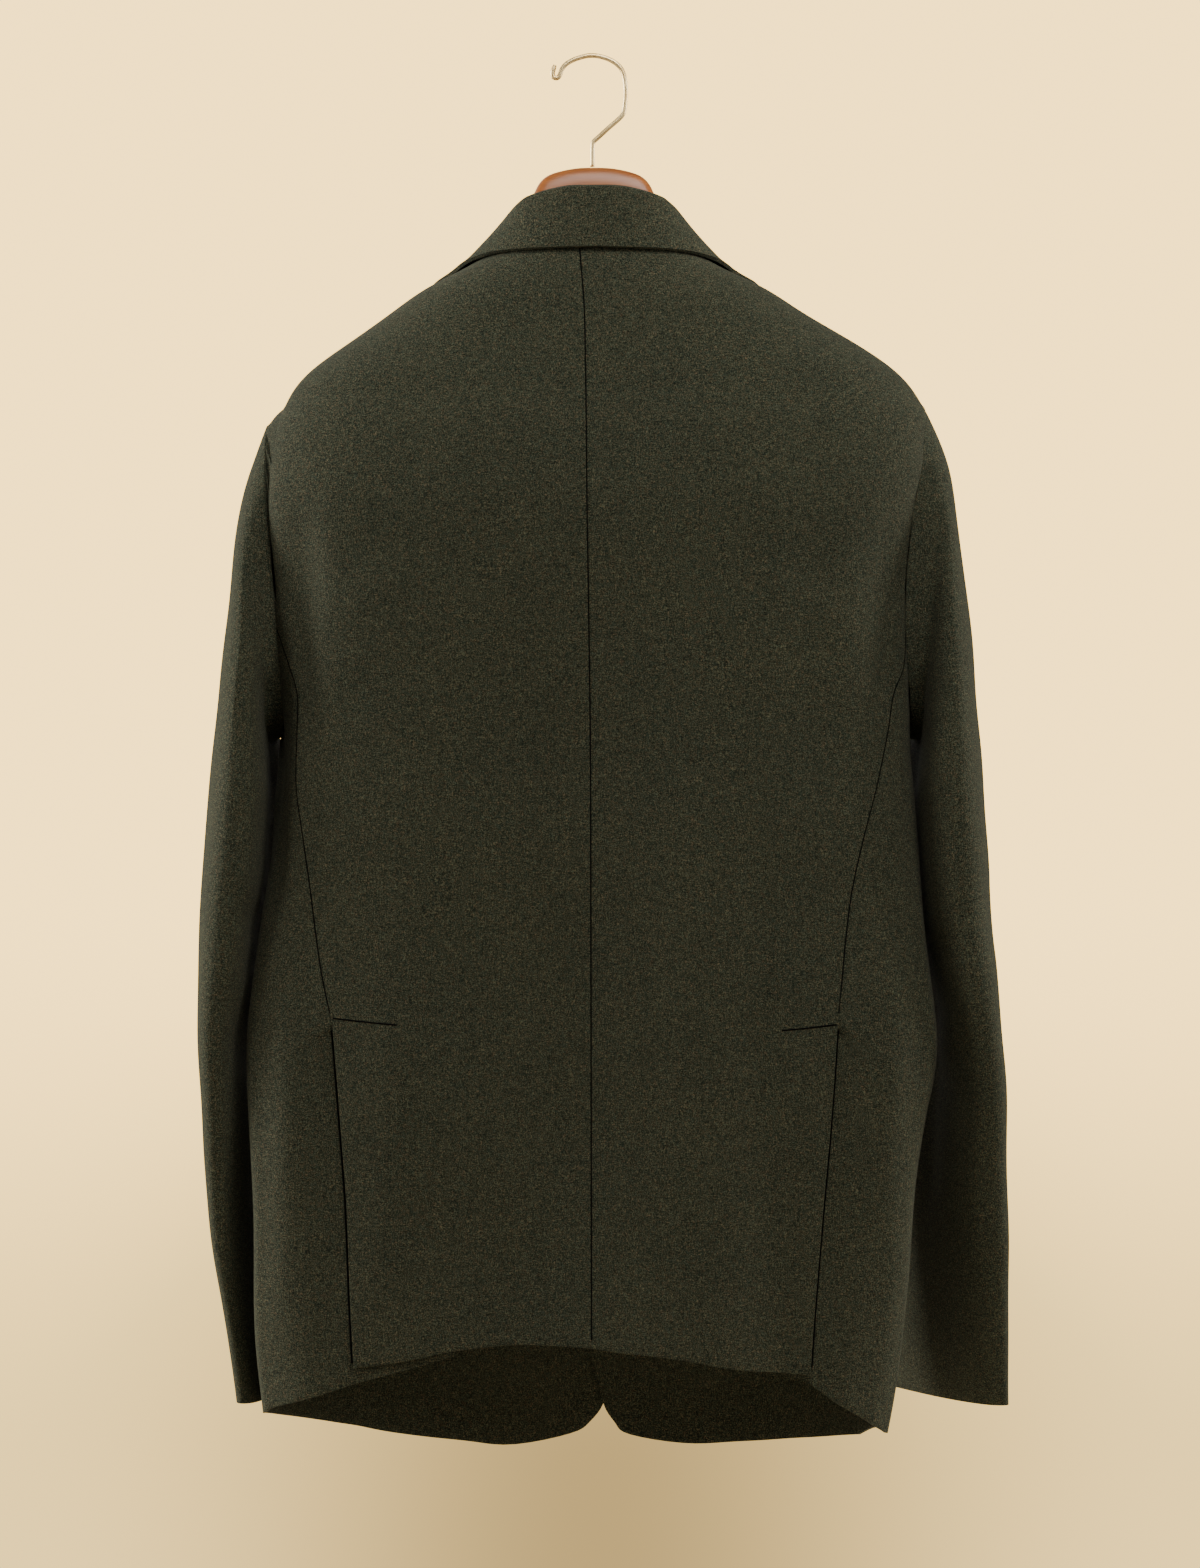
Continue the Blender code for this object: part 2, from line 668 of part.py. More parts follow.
def lapel_rows(side, drops):
    """The lapel, folded back over the front along the roll line."""
    rows = []
    for i, drop in enumerate(drops):
        share = (drop - drops[0]) / (drops[-1] - drops[0])
        start = np.array([roll_x(drop), drop])
        edge_drop = LAPEL_TIP[1] + (BREAK[1] - LAPEL_TIP[1]) * share
        end = np.array([LAPEL_EDGE.at(edge_drop, "x"), edge_drop])
        middle, normal = on_front(side, place_of(side, *start))
        level = roll_frame(side, normal)
        swing = math.radians(SWINGS.get(len(drops) - 1 - i, 180))
        row = roll_over(middle, normal, level, swing)
        if swing < math.pi:
            reach = LAPEL_FOOT_REACH[side] * math.degrees(swing) / 90
            onward = math.sin(swing) * normal - math.cos(swing) * level
            point, facing = row[-1]
            row += [(point + part * reach * onward, facing) for part in LAPEL_PARTS]
        else:
            spare = RIGHT_LAPEL_RISE * fade((drop - 230) / 60) if side == RIGHT else 0.0
            for part in LAPEL_PARTS:
                near_top = 1 - fade((drop - drops[0]) / 60)
                flat = lapel_top(part * TOP_LENGTH) * near_top
                flat = flat + (start + part * (end - start)) * (1 - near_top)
                lift = layer_rise(part) + spare
                point, facing = on_front(side, place_of(side, *flat), lift)
                row.append((point, -facing))
        rows.append([faces_of(*pair) for pair in row])
    return rows


def front_neck(side, share):
    """A place on the front's neck seam, and its key in the collar's table."""
    end = abs(place_of(side, *ROLL_START)[0])
    key = 90 + share * 50
    bend = share if share == 1 else 0.88 * share
    return key, np.array([side * (90 + bend * (end - 90)), NECK.at(key, "drop")])


def make_front(side, loop, rear, fore):
    shoulder = [np.array([side * 90.0, drop]) for drop in SHOULDER_DROPS]
    up_front = [loop[k] for k in range(ARMHOLE_POINTS - 1, fore, -1)]
    edge = shoulder + up_front + side_front_edge(side, loop, rear, fore)
    drops = [place[1] for place in edge]
    corner = FRONT_EDGE[side].key[-1]
    foot_row = min(range(len(drops)), key=lambda i: abs(drops[i] - 505))
    foot = foot_row + np.arange(-3, 1)
    knots = [0, *foot, *(len(drops) - 1 + np.arange(-4, 1))]
    inner_drops = [ROLL_START[1], 478, 495, 508, BREAK[1], 870, 896, 911, 921, corner]
    inner_drops = np.interp(range(len(drops)), knots, inner_drops)
    inner = []
    for i, drop in enumerate(inner_drops):
        x = roll_x(drop) if i <= foot_row else FRONT_EDGE[side].at(drop, "x")
        inner.append(place_of(side, x, drop))
    top, bottom = [], []
    for share in FRONT_COLUMNS:
        top.append(front_neck(side, share)[1])
        angle = edge[-1][0] + share * (inner[-1][0] - edge[-1][0])
        across = abs(body(angle, corner)[0])
        bottom.append(np.array([angle, FRONT_HEM[side].at(across, "drop")]))
    places = blend_edges(edge, inner, top, bottom, FRONT_COLUMNS)
    places = open_seams(places, True, False, True)
    sheet = Sheet()
    roll = lapel_rows(side, [places[i][-1][1] for i in range(foot_row + 1)])
    rows = []
    for i, row in enumerate(places):
        walls = [faces_of(*on_front(side, place)) for place in row]
        if i <= foot_row:
            walls[-1] = roll[i][0]
        rows.append(walls)
    sheet.grid(rows)
    sheet.grid(roll)
    sheet.solid(f"front_{side_name(side)}", "cloth")


# ---- collar -----------------------------------------------------------------------


def collar_section(side, share_angle, place):
    """One section of the collar, from the neck seam over the roll to the outer edge."""
    angle = abs(share_angle)
    base, normal = body(*place), body_normal(*place)
    ahead = body(place[0] + side * 1.0, NECK.at(min(angle + 1.0, 140), "drop"))
    behind = body(place[0] - side * 1.0, NECK.at(max(angle - 1.0, 0), "drop"))
    along = unit(ahead - behind)
    up_seam = unit(np.cross(normal, along))
    up_seam = up_seam if up_seam[2] > 0 else -up_seam
    gap = SEAM + 1.0 * fade((angle - 105) / 25)
    first = base + gap * up_seam - CLOTH / 2 * normal
    lean = np.array([side * COLLAR.at(angle, "side"), -COLLAR.at(angle, "forward"), COLLAR.at(angle, "up")])
    lean = unit(lean)
    away = np.cross(along, lean)
    away = unit(away if np.dot(away, normal) > 0 else -away)
    stand = COLLAR.at(angle, "stand")
    row = [(first, normal)]
    for part in (0.45, 1.0):
        row.append((first + part * stand * lean, unit(normal * (1 - part) * 0.5 + away)))
    top = first + stand * lean
    for k in range(1, 6):
        turn = math.pi * k / 5
        point = top + ROLL_RADIUS * math.sin(turn) * lean + ROLL_RADIUS * (1 - math.cos(turn)) * away
        row.append((point, math.cos(turn) * away - math.sin(turn) * lean))
    start = row[-1][0]
    edge = (side * COLLAR.at(angle, "edge_angle"), COLLAR.at(angle, "edge_drop"))
    end = body(*edge) + LAYER_REST * body_normal(*edge)
    for part in (0.3, 0.6, 0.82, 1.0):
        point = start + part * (end - start)
        normal_here = unit(away * (1 - part) + body_normal(*edge) * part)
        row.append((point, -normal_here))
    return row


def clear_body(point, room):
    """The point, moved out so that it stands at least this far off the body."""
    drop = -point[2]
    if drop < NECK_BACK - 5:
        return point
    middle = BODY.at(drop, "middle")
    width = BODY.at(drop, "left" if point[0] >= 0 else "right")
    reach = BODY.at(drop, "back" if point[1] > middle else "front")
    square = BODY.at(drop, "square")
    scale = ((abs(point[0]) / width) ** square + (abs(point[1] - middle) / reach) ** square) ** (1 / square)
    x, y = point[0] / scale, (point[1] - middle) / scale
    angle = angle_at(x, drop, front=y < 0)
    surface, normal = body(angle, drop), body_normal(angle, drop)
    height = float(np.dot(point - surface, normal))
    return point + max(0.0, room - height) * normal


def neck_places(side):
    """Where the collar's sections stand on the neck seam: at the panels' own corners."""
    start = angle_at(CENTRE_BACK.at(NECK_BACK, "x"), NECK_BACK)
    places = []
    for share in BACK_COLUMNS:
        angle = start + share * (side * 90 - start)
        places.append((abs(angle), np.array([angle, NECK.at(abs(angle), "drop")])))
    for share in FRONT_COLUMNS[1:]:
        places.append(front_neck(side, share))
    return places


def make_collar():
    halves = []
    for side in (LEFT, RIGHT):
        half = []
        for key, place in neck_places(side):
            row = collar_section(LEFT if place[0] >= 0 else RIGHT, key, place)
            room = LAYER_REST + 1.1 * fade((key - 70) / 20)
            half.append(row[:8] + [(clear_body(p, room), n) for p, n in row[8:]])
        end = collar_end(side)
        between = [((p + q) / 2, unit(n + m)) for (p, n), (q, m) in zip(half[-2], end)]
        between[8:] = [(clear_body(p, LAYER_REST + 2), n) for p, n in between[8:]]
        half[-1:] = [between, end]
        halves.append(half)
    sheet = Sheet()
    rows = list(reversed(halves[1])) + halves[0][1:]
    sheet.grid([[faces_of(*pair) for pair in row] for row in rows])
    sheet.solid("collar", "cloth")


def collar_end(side):
    """The collar's front end: over the roll, along the seam to the lapel, up to its tip."""
    middle, normal = on_front(side, place_of(side, *ROLL_START))
    below = on_front(side, place_of(side, roll_x(170), 170))[0]
    raised = unit(middle - below)  # up along the roll line
    row = roll_over(middle + COLLAR_END_RISE * raised, normal, roll_frame(side, normal), math.pi)
    row = [row[0]] * 2 + row
    gorge = np.array(GORGE_END) - ROLL_START
    across = unit(np.array([gorge[1], -gorge[0]])) * SEAM
    for part in LAPEL_PARTS[:3]:
        flat = lapel_top(part * TOP_LENGTH) + across
        point, facing = on_front(side, place_of(side, *flat), layer_rise(part))
        row.append((point, -facing))
    point, facing = on_front(side, place_of(side, *COLLAR_TIP), layer_rise(1.0) + COLLAR_TIP_RISE)
    return row + [(point, -facing)]


# ---- sleeves -----------------------------------------------------------------------


def sleeve_ring(side, step):
    """The outline of a sleeve at a step: points from the top round the rear."""
    table = SLEEVE[side]
    out = np.array([side * table.at(step, "out_x"), -table.at(step, "out_drop")])
    inn = np.array([side * table.at(step, "in_x"), -table.at(step, "in_drop")])
    rear, front = table.at(step, "rear"), table.at(step, "front")
    turn = table.at(step, "turn")
    reach = abs(out[0] - inn[0]) / 2
    flat = math.sqrt(max(reach**2 - turn**2, 4.0))
    centre = (out + inn) / 2
    points = []
    for k in range(ARMHOLE_POINTS):
        angle = math.pi / 2 - 2 * math.pi * k / ARMHOLE_POINTS
        sine, cosine = math.sin(angle), math.cos(angle)
        outward = math.copysign(abs(sine) ** 0.8, sine)
        rearward = math.copysign(abs(cosine) ** 0.8, cosine)
        x = centre[0] + side * (flat * outward + turn * rearward)
        x -= side * table.at(step, "slant") * max(0.0, -rearward) * (1 - outward) / 2
        y = (rear + front) / 2 + (rear - front) / 2 * rearward
        z = centre[1] + (out[1] - inn[1]) / 2 * outward
        points.append(np.array([x, y, z]))
    return points


def sleeve_walls(side, loop):
    """Rings of (outer, inner) points from the armhole to the cuff."""
    hole = [body(*place) for place in loop]
    centre = sum(hole) / len(hole)
    first = []
    for k, point in enumerate(hole):
        along = unit(hole[(k + 1) % len(hole)] - hole[k - 1])
        inward = centre - point
        inward = unit(inward - np.dot(inward, along) * along)
        first.append((point + 0.5 * inward, point + (0.5 + CLOTH) * inward))
    rings = [first]
    shapes = [sleeve_ring(side, int(step)) for step in SLEEVE[side].key]
    before = [[pair[0] for pair in first]] + shapes[:-1]
    after = shapes[1:] + [None]
    for i, shape in enumerate(shapes):
        ring = []
        for k, point in enumerate(shape):
            along = shape[(k + 1) % len(shape)] - shape[k - 1]
            down = (after[i][k] if after[i] else point) - before[i][k]
            normal = unit(np.cross(along, down))
            middle = sum(shape) / len(shape)
            normal = normal if np.dot(normal, point - middle) > 0 else -normal
            ring.append((point, point - CLOTH * normal))
        rings.append(ring)
    return rings


def ring_point(ring, at):
    """Both faces at a place round the ring, between its points."""
    low = math.floor(at)
    share = at - low
    a, b = ring[low % len(ring)], ring[(low + 1) % len(ring)]
    return tuple(a[k] + share * (b[k] - a[k]) for k in (0, 1))


def ring_ends(ring, start, end):
    """Both faces at two places of a ring, each moved half a seam inward."""
    first = np.linalg.norm(ring_point(ring, start + 0.5)[0] - ring_point(ring, start)[0]) * 2
    last = np.linalg.norm(ring_point(ring, end)[0] - ring_point(ring, end - 0.5)[0]) * 2
    return ring_point(ring, start + SEAM / 2 / first), ring_point(ring, end - SEAM / 2 / last)


def make_sleeve(side, loop):
    rings = sleeve_walls(side, loop)
    under_rows, top_rows = [], []
    for step, ring in enumerate(rings):
        hind = HIND_SEAM.at(step, "point")
        under_rows.append(sleeve_arc(ring, hind, FORE_SEAM_POINT))
        top_rows.append(sleeve_arc(ring, FORE_SEAM_POINT, hind + ARMHOLE_POINTS))
    for name, rows in (("under", under_rows), ("top", top_rows)):
        sheet = Sheet()
        sheet.grid(rows)
        sheet.solid(f"sleeve_{side_name(side)}_{name}", "cloth")


def sleeve_arc(ring, start, end):
    """Evenly spaced places of a ring from one seam to the other."""
    first, last = ring_ends(ring, start, end)
    inner = [ring_point(ring, at) for at in np.linspace(start, end, SLEEVE_COLUMNS)[1:-1]]
    return [first] + inner + [last]


# ---- hanger, hook, buttons -----------------------------------------------------------

# The hanger's arms: distance from the middle, drop of top and bottom, half depth.
HANGER = Table(
    "x top bottom half_depth middle",
    [
        (0, 73, 122, 11, 0),
        (11, 73.4, 122, 11, 0),
        (25, 76.2, 124, 11.5, 0),
        (34, 80.5, 127, 12, 0),
        (39, 88, 129, 12.5, -0.5),
        (43, 98, 131, 13, -1),
        (52, 113, 137, 13.5, -1),
        (66, 134, 152, 14, -2),
        (90, 152, 172, 16, -4),
        (125, 173, 194, 19, -7),
        (160, 198, 219, 21, -10),
        (182, 217, 239, 21, -12),
        (190, 226, 242, 18, -13),
    ],
)
HOOK_WIRE = 1.57
HOOK_PATH = [  # x, drop of the wire's middle
    (1, 72.3), (1, 61.8), (0.5, 56.3), (-2.4, 53.2), (-10.4, 45.9), (-16.9, 40.2), (-19.7, 36.2),
    (-20.7, 29.7), (-21.1, 21.7), (-20.3, 13.6), (-18.1, 7.2), (-12.8, 2.4), (-5.6, -0.6), (2.5, -1.6),
    (10.5, 0.1), (17, 3.0), (20.8, 6.6), (22.6, 11), (24.2, 13.2), (26.8, 12.8), (27.5, 9.6), (26.0, 4.8),
]


def loft(name, rings, finish):
    """A closed solid through rings of points, with flat ends."""
    count = len(rings[0])
    points = [point for ring in rings for point in ring]
    faces = [list(range(count)), list(reversed(range(len(points) - count, len(points))))]
    for i in range(len(rings) - 1):
        for k in range(count):
            a, b = i * count + k, i * count + (k + 1) % count
            faces.append([a, a + count, b + count, b])
    return mesh_object(name, points, faces, finish)


def make_hanger(sides=14):
    shares = [0, 11, 22, 31, 37, 41, 46, 54, 66, 82, 104, 130, 155, 174, 184, 189.4]
    rings = []
    for x in [-value for value in reversed(shares)] + shares[1:]:
        far = abs(x)
        top, bottom = HANGER.at(far, "top"), HANGER.at(far, "bottom")
        depth, middle = HANGER.at(far, "half_depth"), HANGER.at(far, "middle")
        tip = math.sqrt(max(1 - fade((far - 178) / 12) ** 2, 0.12))
        ring = []
        for k in range(sides):
            turn = 2 * math.pi * (k + 0.5) / sides
            sine, cosine = math.sin(turn), math.cos(turn)
            y = middle + depth * tip * math.copysign(abs(cosine) ** 0.8, cosine)
            z = -(top + bottom) / 2 + (bottom - top) / 2 * tip * math.copysign(abs(sine) ** 0.8, sine)
            ring.append(np.array([x, y, z]))
        rings.append(ring)
    loft("hanger", rings, "wood")


def smooth_path(knots, steps):
    knots = [np.array(knot, float) for knot in knots]
    knots = [2 * knots[0] - knots[1]] + knots + [2 * knots[-1] - knots[-2]]
    path = []
    for a, b, c, d in zip(knots, knots[1:], knots[2:], knots[3:]):
        for t in np.linspace(0, 1, steps, endpoint=False):
            curve = (c - a) * t + (2 * a - 5 * b + 4 * c - d) * t**2 + (3 * b - a - 3 * c + d) * t**3
            path.append(b + curve / 2)
    return path + [knots[-2]]


def make_hook(sides=10):
    path = [np.array([x, 0, -drop]) for x, drop in smooth_path(HOOK_PATH, 2)]
    rings = []
    for i, point in enumerate(path):
        along = unit(path[min(i + 1, len(path) - 1)] - path[max(i - 1, 0)])
        across = np.cross(along, [0, 1, 0])
        size = HOOK_WIRE if i < len(path) - 1 else HOOK_WIRE * 0.75
        level = np.array([0, size, 0])
        turns = [2 * math.pi * k / sides for k in range(sides)]
        rings.append([point + math.cos(t) * size * across + math.sin(t) * level for t in turns])
    loft("hook", rings, "brass")


def make_button(name, drop, sides=24):
    place = place_of(LEFT, 0.0, drop)
    point, normal = body(*place), body_normal(*place)
    across = unit(np.cross(normal, [0, 0, 1]))
    up = np.cross(across, normal)
    turns = [2 * math.pi * k / sides for k in range(sides)]
    rings = []
    for radius, height in BUTTON_PROFILE:
        middle = point + (BUTTON_LIFT + height) * normal
        rings.append([middle + radius * (math.cos(t) * across + math.sin(t) * up) for t in turns])
    loft(name, rings, "horn")


def main():
    for obj in list(bpy.data.objects):
        bpy.data.objects.remove(obj, do_unlink=True)
    for side in (LEFT, RIGHT):
        loop = armhole(side)
        rear, fore = armhole_split(loop)
        make_back(side, loop, rear)
        make_side(side, loop, rear, fore)
        make_front(side, loop, rear, fore)
        make_sleeve(side, loop)
    make_collar()
    make_hanger()
    make_hook()
    for name, drop in BUTTON_DROPS.items():
        make_button(name, drop)


main()
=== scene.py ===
"""The look of a single-breasted jacket on a wooden hanger, seen from behind.

Each cloth piece is its solid from the frame, smoothed through the solid's own
corners, with the creases of the hanging cloth added. Lengths are in metres, but
the sizes of creases, of lines on the cloth and of buttons are in millimetres, with
a height on the cloth given as a drop below the hook's arch.
"""

import math

import bmesh
import bpy
import numpy as np
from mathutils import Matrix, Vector
from mathutils.bvhtree import BVHTree
from mathutils.kdtree import KDTree


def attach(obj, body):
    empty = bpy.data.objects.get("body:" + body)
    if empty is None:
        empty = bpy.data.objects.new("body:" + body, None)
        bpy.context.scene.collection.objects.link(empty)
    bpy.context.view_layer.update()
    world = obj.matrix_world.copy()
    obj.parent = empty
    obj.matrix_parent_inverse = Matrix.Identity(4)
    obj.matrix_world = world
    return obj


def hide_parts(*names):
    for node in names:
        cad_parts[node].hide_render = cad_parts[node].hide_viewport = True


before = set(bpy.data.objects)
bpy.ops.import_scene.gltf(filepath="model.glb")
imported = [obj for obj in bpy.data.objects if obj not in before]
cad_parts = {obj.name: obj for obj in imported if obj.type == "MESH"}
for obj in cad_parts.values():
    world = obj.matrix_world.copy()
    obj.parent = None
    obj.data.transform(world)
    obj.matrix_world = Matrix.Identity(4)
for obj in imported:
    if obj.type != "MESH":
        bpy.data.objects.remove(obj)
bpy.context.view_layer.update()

# ---- sizes ----------------------------------------------------------------------

MM = 0.001
WELD = 0.02 * MM  # corners nearer than this are one
SEAM_REACH = 0.45 * MM  # corners of two pieces nearer than this are sewn together
SEAM_LEFT = 0.04  # the share of a seam's gap that stays open
SEAM_SHADE_RADIUS = 0.52  # radius in millimetres of the near-black line of painted shade in a seam's groove
SEAM_SINK = 0.2 * MM  # how deep the line's middle lies in the groove
SEAM_STEPS = 6  # points on a seam's line for each corner of the wall
WALL = 2.5 * MM  # thickness of the cloth
ACROSS_WALL = 0.7 * WALL, 1.2 * WALL  # how far a corner on the wall's other face may lie
FIT_ROUNDS = 8  # of moving the cage until the smooth surface meets the corners
CREASE_ANGLE = math.radians(55)
SLICE = 20 * MM  # height of the slices that tell a cloth tube's middle
WAVE_LENGTH, WAVE_HEIGHT = 80 * MM, 0.35 * MM  # of the cloth's random unevenness
WAVE_SPREAD = 0.6, 1.5  # a wave has this many crests in that length, from and to
WAVES = 12
ARMHOLE_REACH = 3 * MM  # corners of sleeve and body nearer than this belong to the armhole
ARMHOLE_CALM, ARMHOLE_FADE = 11 * MM, 16 * MM  # no creases this near it, then a fade
CREASE_FADE = 0.3  # the share of a crease's length over which each end fades
CREASE_TURN = 2.5  # how quickly a crease fades towards the tube's sides
EDGE_ROUND = 0.75 * MM
LINE_STEP = 3.0  # millimetres between the points of a line laid on the cloth
RAY_START = 0.5  # metres behind the hook, from where the cloth is looked for
PAST_PANEL, REACH_STEP = 200.0, 0.1  # start and step of the search for a panel's edge, in millimetres
VENT_EDGE_TOP, VENT_EDGE_KNOTS = 643, 7  # the drop where the painted shadow beside a vent's edge starts, and its knots
VENT_EDGE_GAP = 0.4  # millimetres between the panel's edge and the line of painted shadow

PIECES = {}
BACKS = ("back_left", "back_right")
SIDES = ("side_left", "side_right")
FRONTS = ("front_left", "front_right")
SLEEVES = {
    "left": ("sleeve_left_top", "sleeve_left_under"),
    "right": ("sleeve_right_top", "sleeve_right_under"),
}
BODY = BACKS + SIDES + FRONTS + ("collar",)
SEAMS = (
    ("back_left", "back_right"),
    ("back_left", "side_left"),
    ("back_right", "side_right"),
    ("front_left", "side_left"),
    ("front_right", "side_right"),
    SLEEVES["left"],
    SLEEVES["right"],
)
REAR_SEAMS = SEAMS[:3]  # the ones that get a near-black line of painted shade in their groove
FINE_LEVELS, PLAIN_LEVELS = 3, 2  # of smoothing
LEVELS = dict.fromkeys(FRONTS + ("collar",), PLAIN_LEVELS)  # the other cloth is seen most


# ---- smooth copies of the solids ------------------------------------------------


def positions(mesh):
    flat = np.empty(len(mesh.vertices) * 3, np.float32)
    mesh.vertices.foreach_get("co", flat)
    return flat.reshape(-1, 3).astype(float)


def move_to(mesh, points):
    mesh.vertices.foreach_set("co", np.asarray(points, np.float32).ravel())
    mesh.update()


def tree_of(points):
    tree = KDTree(len(points))
    for k, point in enumerate(points):
        tree.insert(point, k)
    tree.balance()
    return tree


def quads_of(node):
    """A node's own mesh with its triangles joined in pairs, and its sharp edges kept sharp."""
    work = bmesh.new()
    work.from_mesh(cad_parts[node].data)
    bmesh.ops.remove_doubles(work, verts=work.verts, dist=WELD)
    sharp = work.edges.layers.float.new("crease_edge")
    for edge in work.edges:
        edge.smooth = edge.calc_face_angle(0) < CREASE_ANGLE
        edge[sharp] = 0.0 if edge.smooth else 1.0
    bmesh.ops.join_triangles(
        work,
        faces=work.faces,
        cmp_sharp=True,
        angle_face_threshold=math.pi,
        angle_shape_threshold=math.pi,
        topology_influence=2.0,
    )
    mesh = bpy.data.meshes.new(node)
    work.to_mesh(mesh)
    work.free()
    return mesh


def wall_of(mesh):
    return BVHTree.FromPolygons(positions(mesh).tolist(), [face.vertices[:] for face in mesh.polygons])


def close_seams(meshes, walls):
    """Moves the facing edges of sewn pieces together."""
    for name, mesh in meshes.items():
        points = positions(mesh)
        moved = points.copy()
        for k, point in enumerate(points):
            for other in walls:
                near = None if other == name else walls[other].find_nearest(point, SEAM_REACH)[0]
                if near:
                    moved[k] += (1 - SEAM_LEFT) / 2 * (np.array(near) - point)
        move_to(mesh, moved)


def smooth_mesh(name, mesh, levels):
    """The mesh, smoothed so that it still runs through its own corners."""
    obj = bpy.data.objects.new(name, mesh)
    bpy.context.scene.collection.objects.link(obj)
    smooth = obj.modifiers.new("smooth", "SUBSURF")
    target = positions(mesh)
    cage = target.copy()

    def result(level):
        smooth.levels = level
        bpy.context.view_layer.update()
        return obj.evaluated_get(bpy.context.evaluated_depsgraph_get())

    for _ in range(FIT_ROUNDS):
        reached = positions(result(1).data)[: len(target)]
        cage += target - reached
        move_to(mesh, cage)
    fine = bpy.data.meshes.new_from_object(result(levels))
    bpy.data.objects.remove(obj)
    return fine


def slices_of(points):
    """The boxes of a cloth tube's level slices, as heights, middles and half sizes."""
    heights = np.arange(points[:, 2].min(), points[:, 2].max(), SLICE)
    near = [points[np.abs(points[:, 2] - z) < 2 * SLICE, :2] for z in heights]
    low = np.array([part.min(0) for part in near])
    high = np.array([part.max(0) for part in near])
    return heights, (low + high) / 2, (high - low) / 2


def outward(points, slices):
    """The level way out of a cloth tube at each point, and how far to the rear it lies, -1 to 1."""
    heights, middles, halves = slices

    def spread(rows):
        return np.stack([np.interp(points[:, 2], heights, rows[:, k]) for k in (0, 1)], 1)

    half = spread(halves)
    share = (points[:, :2] - spread(middles)) / half
    way = np.sign(share) * share**2 / half
    way /= np.maximum(np.linalg.norm(way, axis=1, keepdims=True), 1e-9)
    return np.column_stack([way, np.zeros(len(way))]), share[:, 1]


def smooth_step(value):
    value = np.clip(value, 0, 1)
    return value * value * (3 - 2 * value)


def crease_height(points, rearward, creases):
    """How far soft ridges (+) and troughs (-) move each point outward, in metres."""
    height = np.zeros(len(points))
    place = np.stack([points[:, 0], -points[:, 2]], 1) / MM
    for rear, top, foot, half_width, rise, bow in creases:
        top, foot = np.array(top), np.array(foot)
        length = np.linalg.norm(foot - top)
        along = (foot - top) / length
        share = np.clip((place - top) @ along / length, 0, 1)
        off = (place - top) @ np.array([-along[1], along[0]]) - bow * np.sin(math.pi * share)
        facing = smooth_step(0.5 + CREASE_TURN * (rearward if rear else -rearward))
        ends = smooth_step(share / CREASE_FADE) * smooth_step((1 - share) / CREASE_FADE)
        height += rise * ends * facing * np.exp(-((off / half_width) ** 2))
    return height * MM


def waves(points, seed, length):
    """A smooth random height of about -1 to 1."""
    dice = np.random.default_rng(seed)
    height = np.zeros(len(points))
    for _ in range(WAVES):
        way = dice.normal(size=3)
        way *= dice.uniform(*WAVE_SPREAD) / length / np.linalg.norm(way)
        height += np.sin(points @ way * 2 * math.pi + dice.uniform(0, 2 * math.pi))
    return height / math.sqrt(WAVES)


def creased(points, group, armholes):
    """Points of a wall moved out or in, both faces alike, but not where sleeve and body meet."""
    slices, creases, seed = group
    way, rearward = outward(points, slices)
    height = crease_height(points, rearward, creases)
    height += WAVE_HEIGHT * waves(points, seed, WAVE_LENGTH)
    distance = np.array([armholes.find(point)[2] for point in points])
    height *= smooth_step((distance - ARMHOLE_CALM) / ARMHOLE_FADE)
    return points + height[:, None] * way


def seam_path(corners, wall, slices):
    """A smooth line down the outer corners of the rear edge where a piece meets another."""
    nearest, farthest = ACROSS_WALL
    facing = np.array([point for point in corners if wall.find_nearest(point, SEAM_REACH)[0]])
    ways, rearward = outward(facing, slices)
    tree = tree_of(facing)
    path = []
    for point, way, rear in zip(facing, ways, rearward):
        across = [np.array(q) for q, _, d in tree.find_range(point, farthest) if d > nearest]
        if rear > 0 and across and min((point - inner) @ way for inner in across) > 0:
            path.append(point)
    path = np.array(sorted(path, key=lambda p: -p[2]))
    ends = [2 * path[0] - path[1]], [2 * path[-1] - path[-2]]
    a, b, c, d = (np.concatenate([ends[0], path, ends[1]])[k : len(path) - 1 + k] for k in range(4))
    fine = []
    for t in np.arange(SEAM_STEPS) / SEAM_STEPS:
        bend = (c - a) * t + (2 * a - 5 * b + 4 * c - d) * t**2 + (3 * b - a - 3 * c + d) * t**3
        fine.append(b + bend / 2)
    return np.stack(fine, 1).reshape(-1, 3)


def cloth_piece(name, mesh):
    mesh.materials.append(FINISHES["cloth"])
    mesh.shade_smooth()
    mesh.set_sharp_from_angle(angle=CREASE_ANGLE)
    piece = bpy.data.objects.new("cloth_" + name, mesh)
    bpy.context.scene.collection.objects.link(piece)
    edge = piece.modifiers.new("edge", "BEVEL")
    edge.width = EDGE_ROUND
    edge.segments = 2
    edge.limit_method = "ANGLE"
    edge.angle_limit = CREASE_ANGLE
    declare(piece, name)


def declare(piece, node):
    """Puts a piece on the body in place of a node, and hides the node."""
    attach(piece, "root")
    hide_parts(node)
    PIECES[node] = piece


